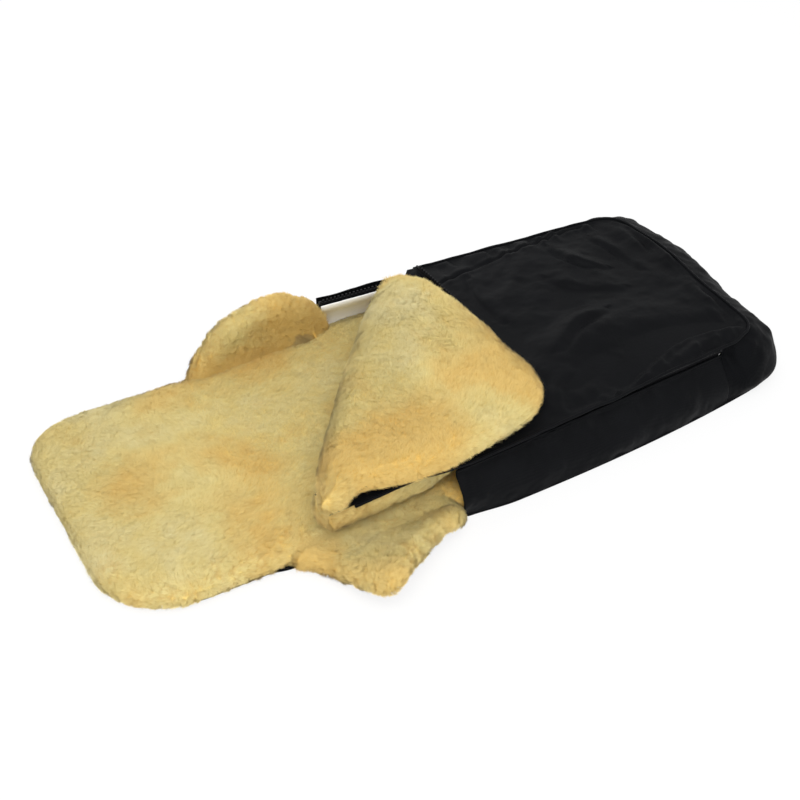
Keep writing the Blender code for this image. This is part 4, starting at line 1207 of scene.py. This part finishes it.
def flap_rows(edge, n, m):
    """Plan grid of the closed corner, from the crease to its outer edge."""
    lean_m, lean_e = math.radians(3), math.radians(5)
    mouth = np.array((-math.sin(lean_m), math.cos(lean_m)))
    side = np.array((-math.cos(lean_e), -math.sin(lean_e)))
    near = CREASE_NEAR + ALONG * edge / math.sin(CREASE)
    far = CREASE_FAR - ALONG * edge / math.sin(CREASE)
    span = far - near
    reach = (span[0] * side[1] - span[1] * side[0]) / (mouth[0] * side[1] - mouth[1] * side[0])
    tip = near + mouth * reach
    path = rounded([near + mouth * 0.034, tip, far + side * 0.020], (0.064,))
    t = crowded(n, 0.3)
    outer = resampled(path, t)
    start = near + ALONG * 0.034 + AWAY * 0.0015
    end = far - ALONG * 0.020 + AWAY * 0.0015
    inner = start + (end - start) * t[:, None]
    return inner[:, None, :] + (outer - inner)[:, None, :] * crowded(m, 0.3)[None, :, None]


def folded(points):
    """Turns the closed corner half way round the crease, to where it lies."""
    pivot = np.array((*CREASE_NEAR, HINGE_Z))
    axis = np.array((*ALONG, 0.0))
    p = points - pivot
    along = (p @ axis)[..., None] * axis
    return pivot + 2 * along - p


def build_flap_cloth():
    plan = flap_rows(0.0, count(110), count(110))
    x, y = plan[..., 0], plan[..., 1]
    edge = outline_data(plan).distance.reshape(plan.shape[:2])
    grid = np.stack((x, y, cover_top(x, y)), axis=-1)
    lift = np.minimum(cloth_relief(grid, edge, 231) - 0.0006, 0.0) * smooth(edge / 0.01)
    grid[..., 2] += np.maximum(lift, -0.0016)
    solid_sheet("flap_cloth", folded(grid), 0.0012, NYLON, ("flap_shell",), "flap", offset=0.0007,
                up=(0, 0, 1))
    path = flap_rows(-0.0023, count(260), 4)[:, -1]
    path = np.column_stack((path, np.full(len(path), WALL_TOP_Z + 0.0023)))
    path[:, 2] += noise(path, 0.016, 241) * 0.0005
    tube("flap_piping_cord", folded(path), 0.0021, NYLON, "flap", ("flap_piping",))


# Zips keep their solids and get finished surfaces


def dress_zips():
    looks = {"tape": TAPE, "teeth": TEETH, "stop": TEETH, "front": METAL, "back": METAL, "pull": METAL}
    for name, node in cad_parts.items():
        kind = name.rsplit("_", 1)[-1]
        if kind in looks and not name.startswith("back"):
            node.data.materials.clear()
            node.data.materials.append(looks[kind])


# Setting

CAMERA_PLACE = (-0.618272, -1.176096, 1.113312)
CAMERA_YAW, CAMERA_PITCH, CAMERA_ROLL = 1.1071, 0.6909, -0.0313
FOCAL_PIXELS, FRAME_PIXELS, SENSOR = 1239.8, 800, 36
FLOOR_REACH, FLOOR_DROP = 30.0, 0.0005


def build_camera():
    across, down = math.cos(CAMERA_PITCH), math.sin(CAMERA_PITCH)
    forward = Vector((across * math.cos(CAMERA_YAW), across * math.sin(CAMERA_YAW), -down))
    level = Vector((math.sin(CAMERA_YAW), -math.cos(CAMERA_YAW), 0))
    upward = level.cross(forward)
    right = math.cos(CAMERA_ROLL) * level + math.sin(CAMERA_ROLL) * upward
    up = -math.sin(CAMERA_ROLL) * level + math.cos(CAMERA_ROLL) * upward
    camera = bpy.data.objects.new("camera", bpy.data.cameras.new("camera"))
    bpy.context.scene.collection.objects.link(camera)
    camera.data.sensor_width = SENSOR
    camera.data.lens = FOCAL_PIXELS / FRAME_PIXELS * SENSOR
    camera.data.clip_end = 50
    matrix = Matrix((right, up, -forward)).transposed().to_4x4()
    matrix.translation = CAMERA_PLACE
    camera.matrix_world = matrix
    bpy.context.scene.camera = camera


def build_floor():
    """Floor that is nearly white to the camera and in reflections, and keeps the object's shadow."""
    look = Look("pale_floor").set(Base_Color=(0.93, 0.93, 0.93, 1), Roughness=0.9, Specular_IOR_Level=0.0)
    glow = look.node("ShaderNodeEmission")
    glow.inputs["Color"].default_value = (1, 1, 1, 1)
    rays = look.node("ShaderNodeLightPath").outputs
    seen = look.maths("MAXIMUM", rays["Is Camera Ray"], rays["Is Glossy Ray"])
    look.surface(look.maths("MULTIPLY", seen, 0.80), look.shader, glow, "Material Output")
    corners = np.array([(-1, -1, 0), (1, -1, 0), (1, 1, 0), (-1, 1, 0)]) * FLOOR_REACH + (0, 0, -FLOOR_DROP)
    make("floor", corners, np.array([[0, 1, 2, 3]]), look.material)


def build_world():
    """Soft light from all round, a little stronger from the head's near side; white to the camera."""
    world = bpy.data.worlds.new("studio")
    bpy.context.scene.world = world
    world.use_nodes = True
    sky = Nodes(world.node_tree)
    background = sky.tree.nodes["Background"]
    white = sky.node("ShaderNodeBackground")
    for shader in (background, white):
        shader.inputs["Color"].default_value = (1.0, 1.0, 1.0, 1)
    white.inputs["Strength"].default_value = 1.0
    facing = sky.node("ShaderNodeVectorMath", operation="DOT_PRODUCT")
    facing.inputs[1].default_value = (-0.44, -0.88, 0.10)
    sky.link(sky.node("ShaderNodeTexCoord").outputs["Generated"], facing.inputs[0])
    strength = sky.node("ShaderNodeMapRange")
    for key, value in (("From Min", -0.8), ("From Max", 0.8), ("To Min", 0.74), ("To Max", 1.02)):
        strength.inputs[key].default_value = value
    sky.link(facing.outputs["Value"], strength.inputs["Value"])
    sky.link(strength.outputs["Result"], background.inputs["Strength"])
    rays = sky.node("ShaderNodeLightPath").outputs
    sky.surface(rays["Is Camera Ray"], background, white, "World Output")


def build_lamp(name, place, aim, size, power):
    data = bpy.data.lights.new(name, "AREA")
    data.shape = "RECTANGLE"
    data.size, data.size_y = size
    data.energy = power
    light = bpy.data.objects.new(name, data)
    bpy.context.scene.collection.objects.link(light)
    light.location = place
    light.visible_camera = False
    light.rotation_euler = (Vector(aim) - Vector(place)).to_track_quat("-Z", "Y").to_euler()


bpy.context.scene.view_settings.view_transform = "Standard"
build_camera()
build_floor()
build_world()
build_lamp("soft_key", (-0.6, -1.4, 2.0), (0, 0, 0), (1.8, 1.5), 33)
build_lamp("back_light", (0.1, 1.7, 1.1), (0.05, 0, 0), (1.6, 0.6), 4.5)
build_bed()
build_wing("near")
build_wing("far")
build_walls()
build_zip_guard()
build_back()
build_cover()
build_cover_fleece()
build_flap_fleece()
build_flap_cloth()
dress_zips()
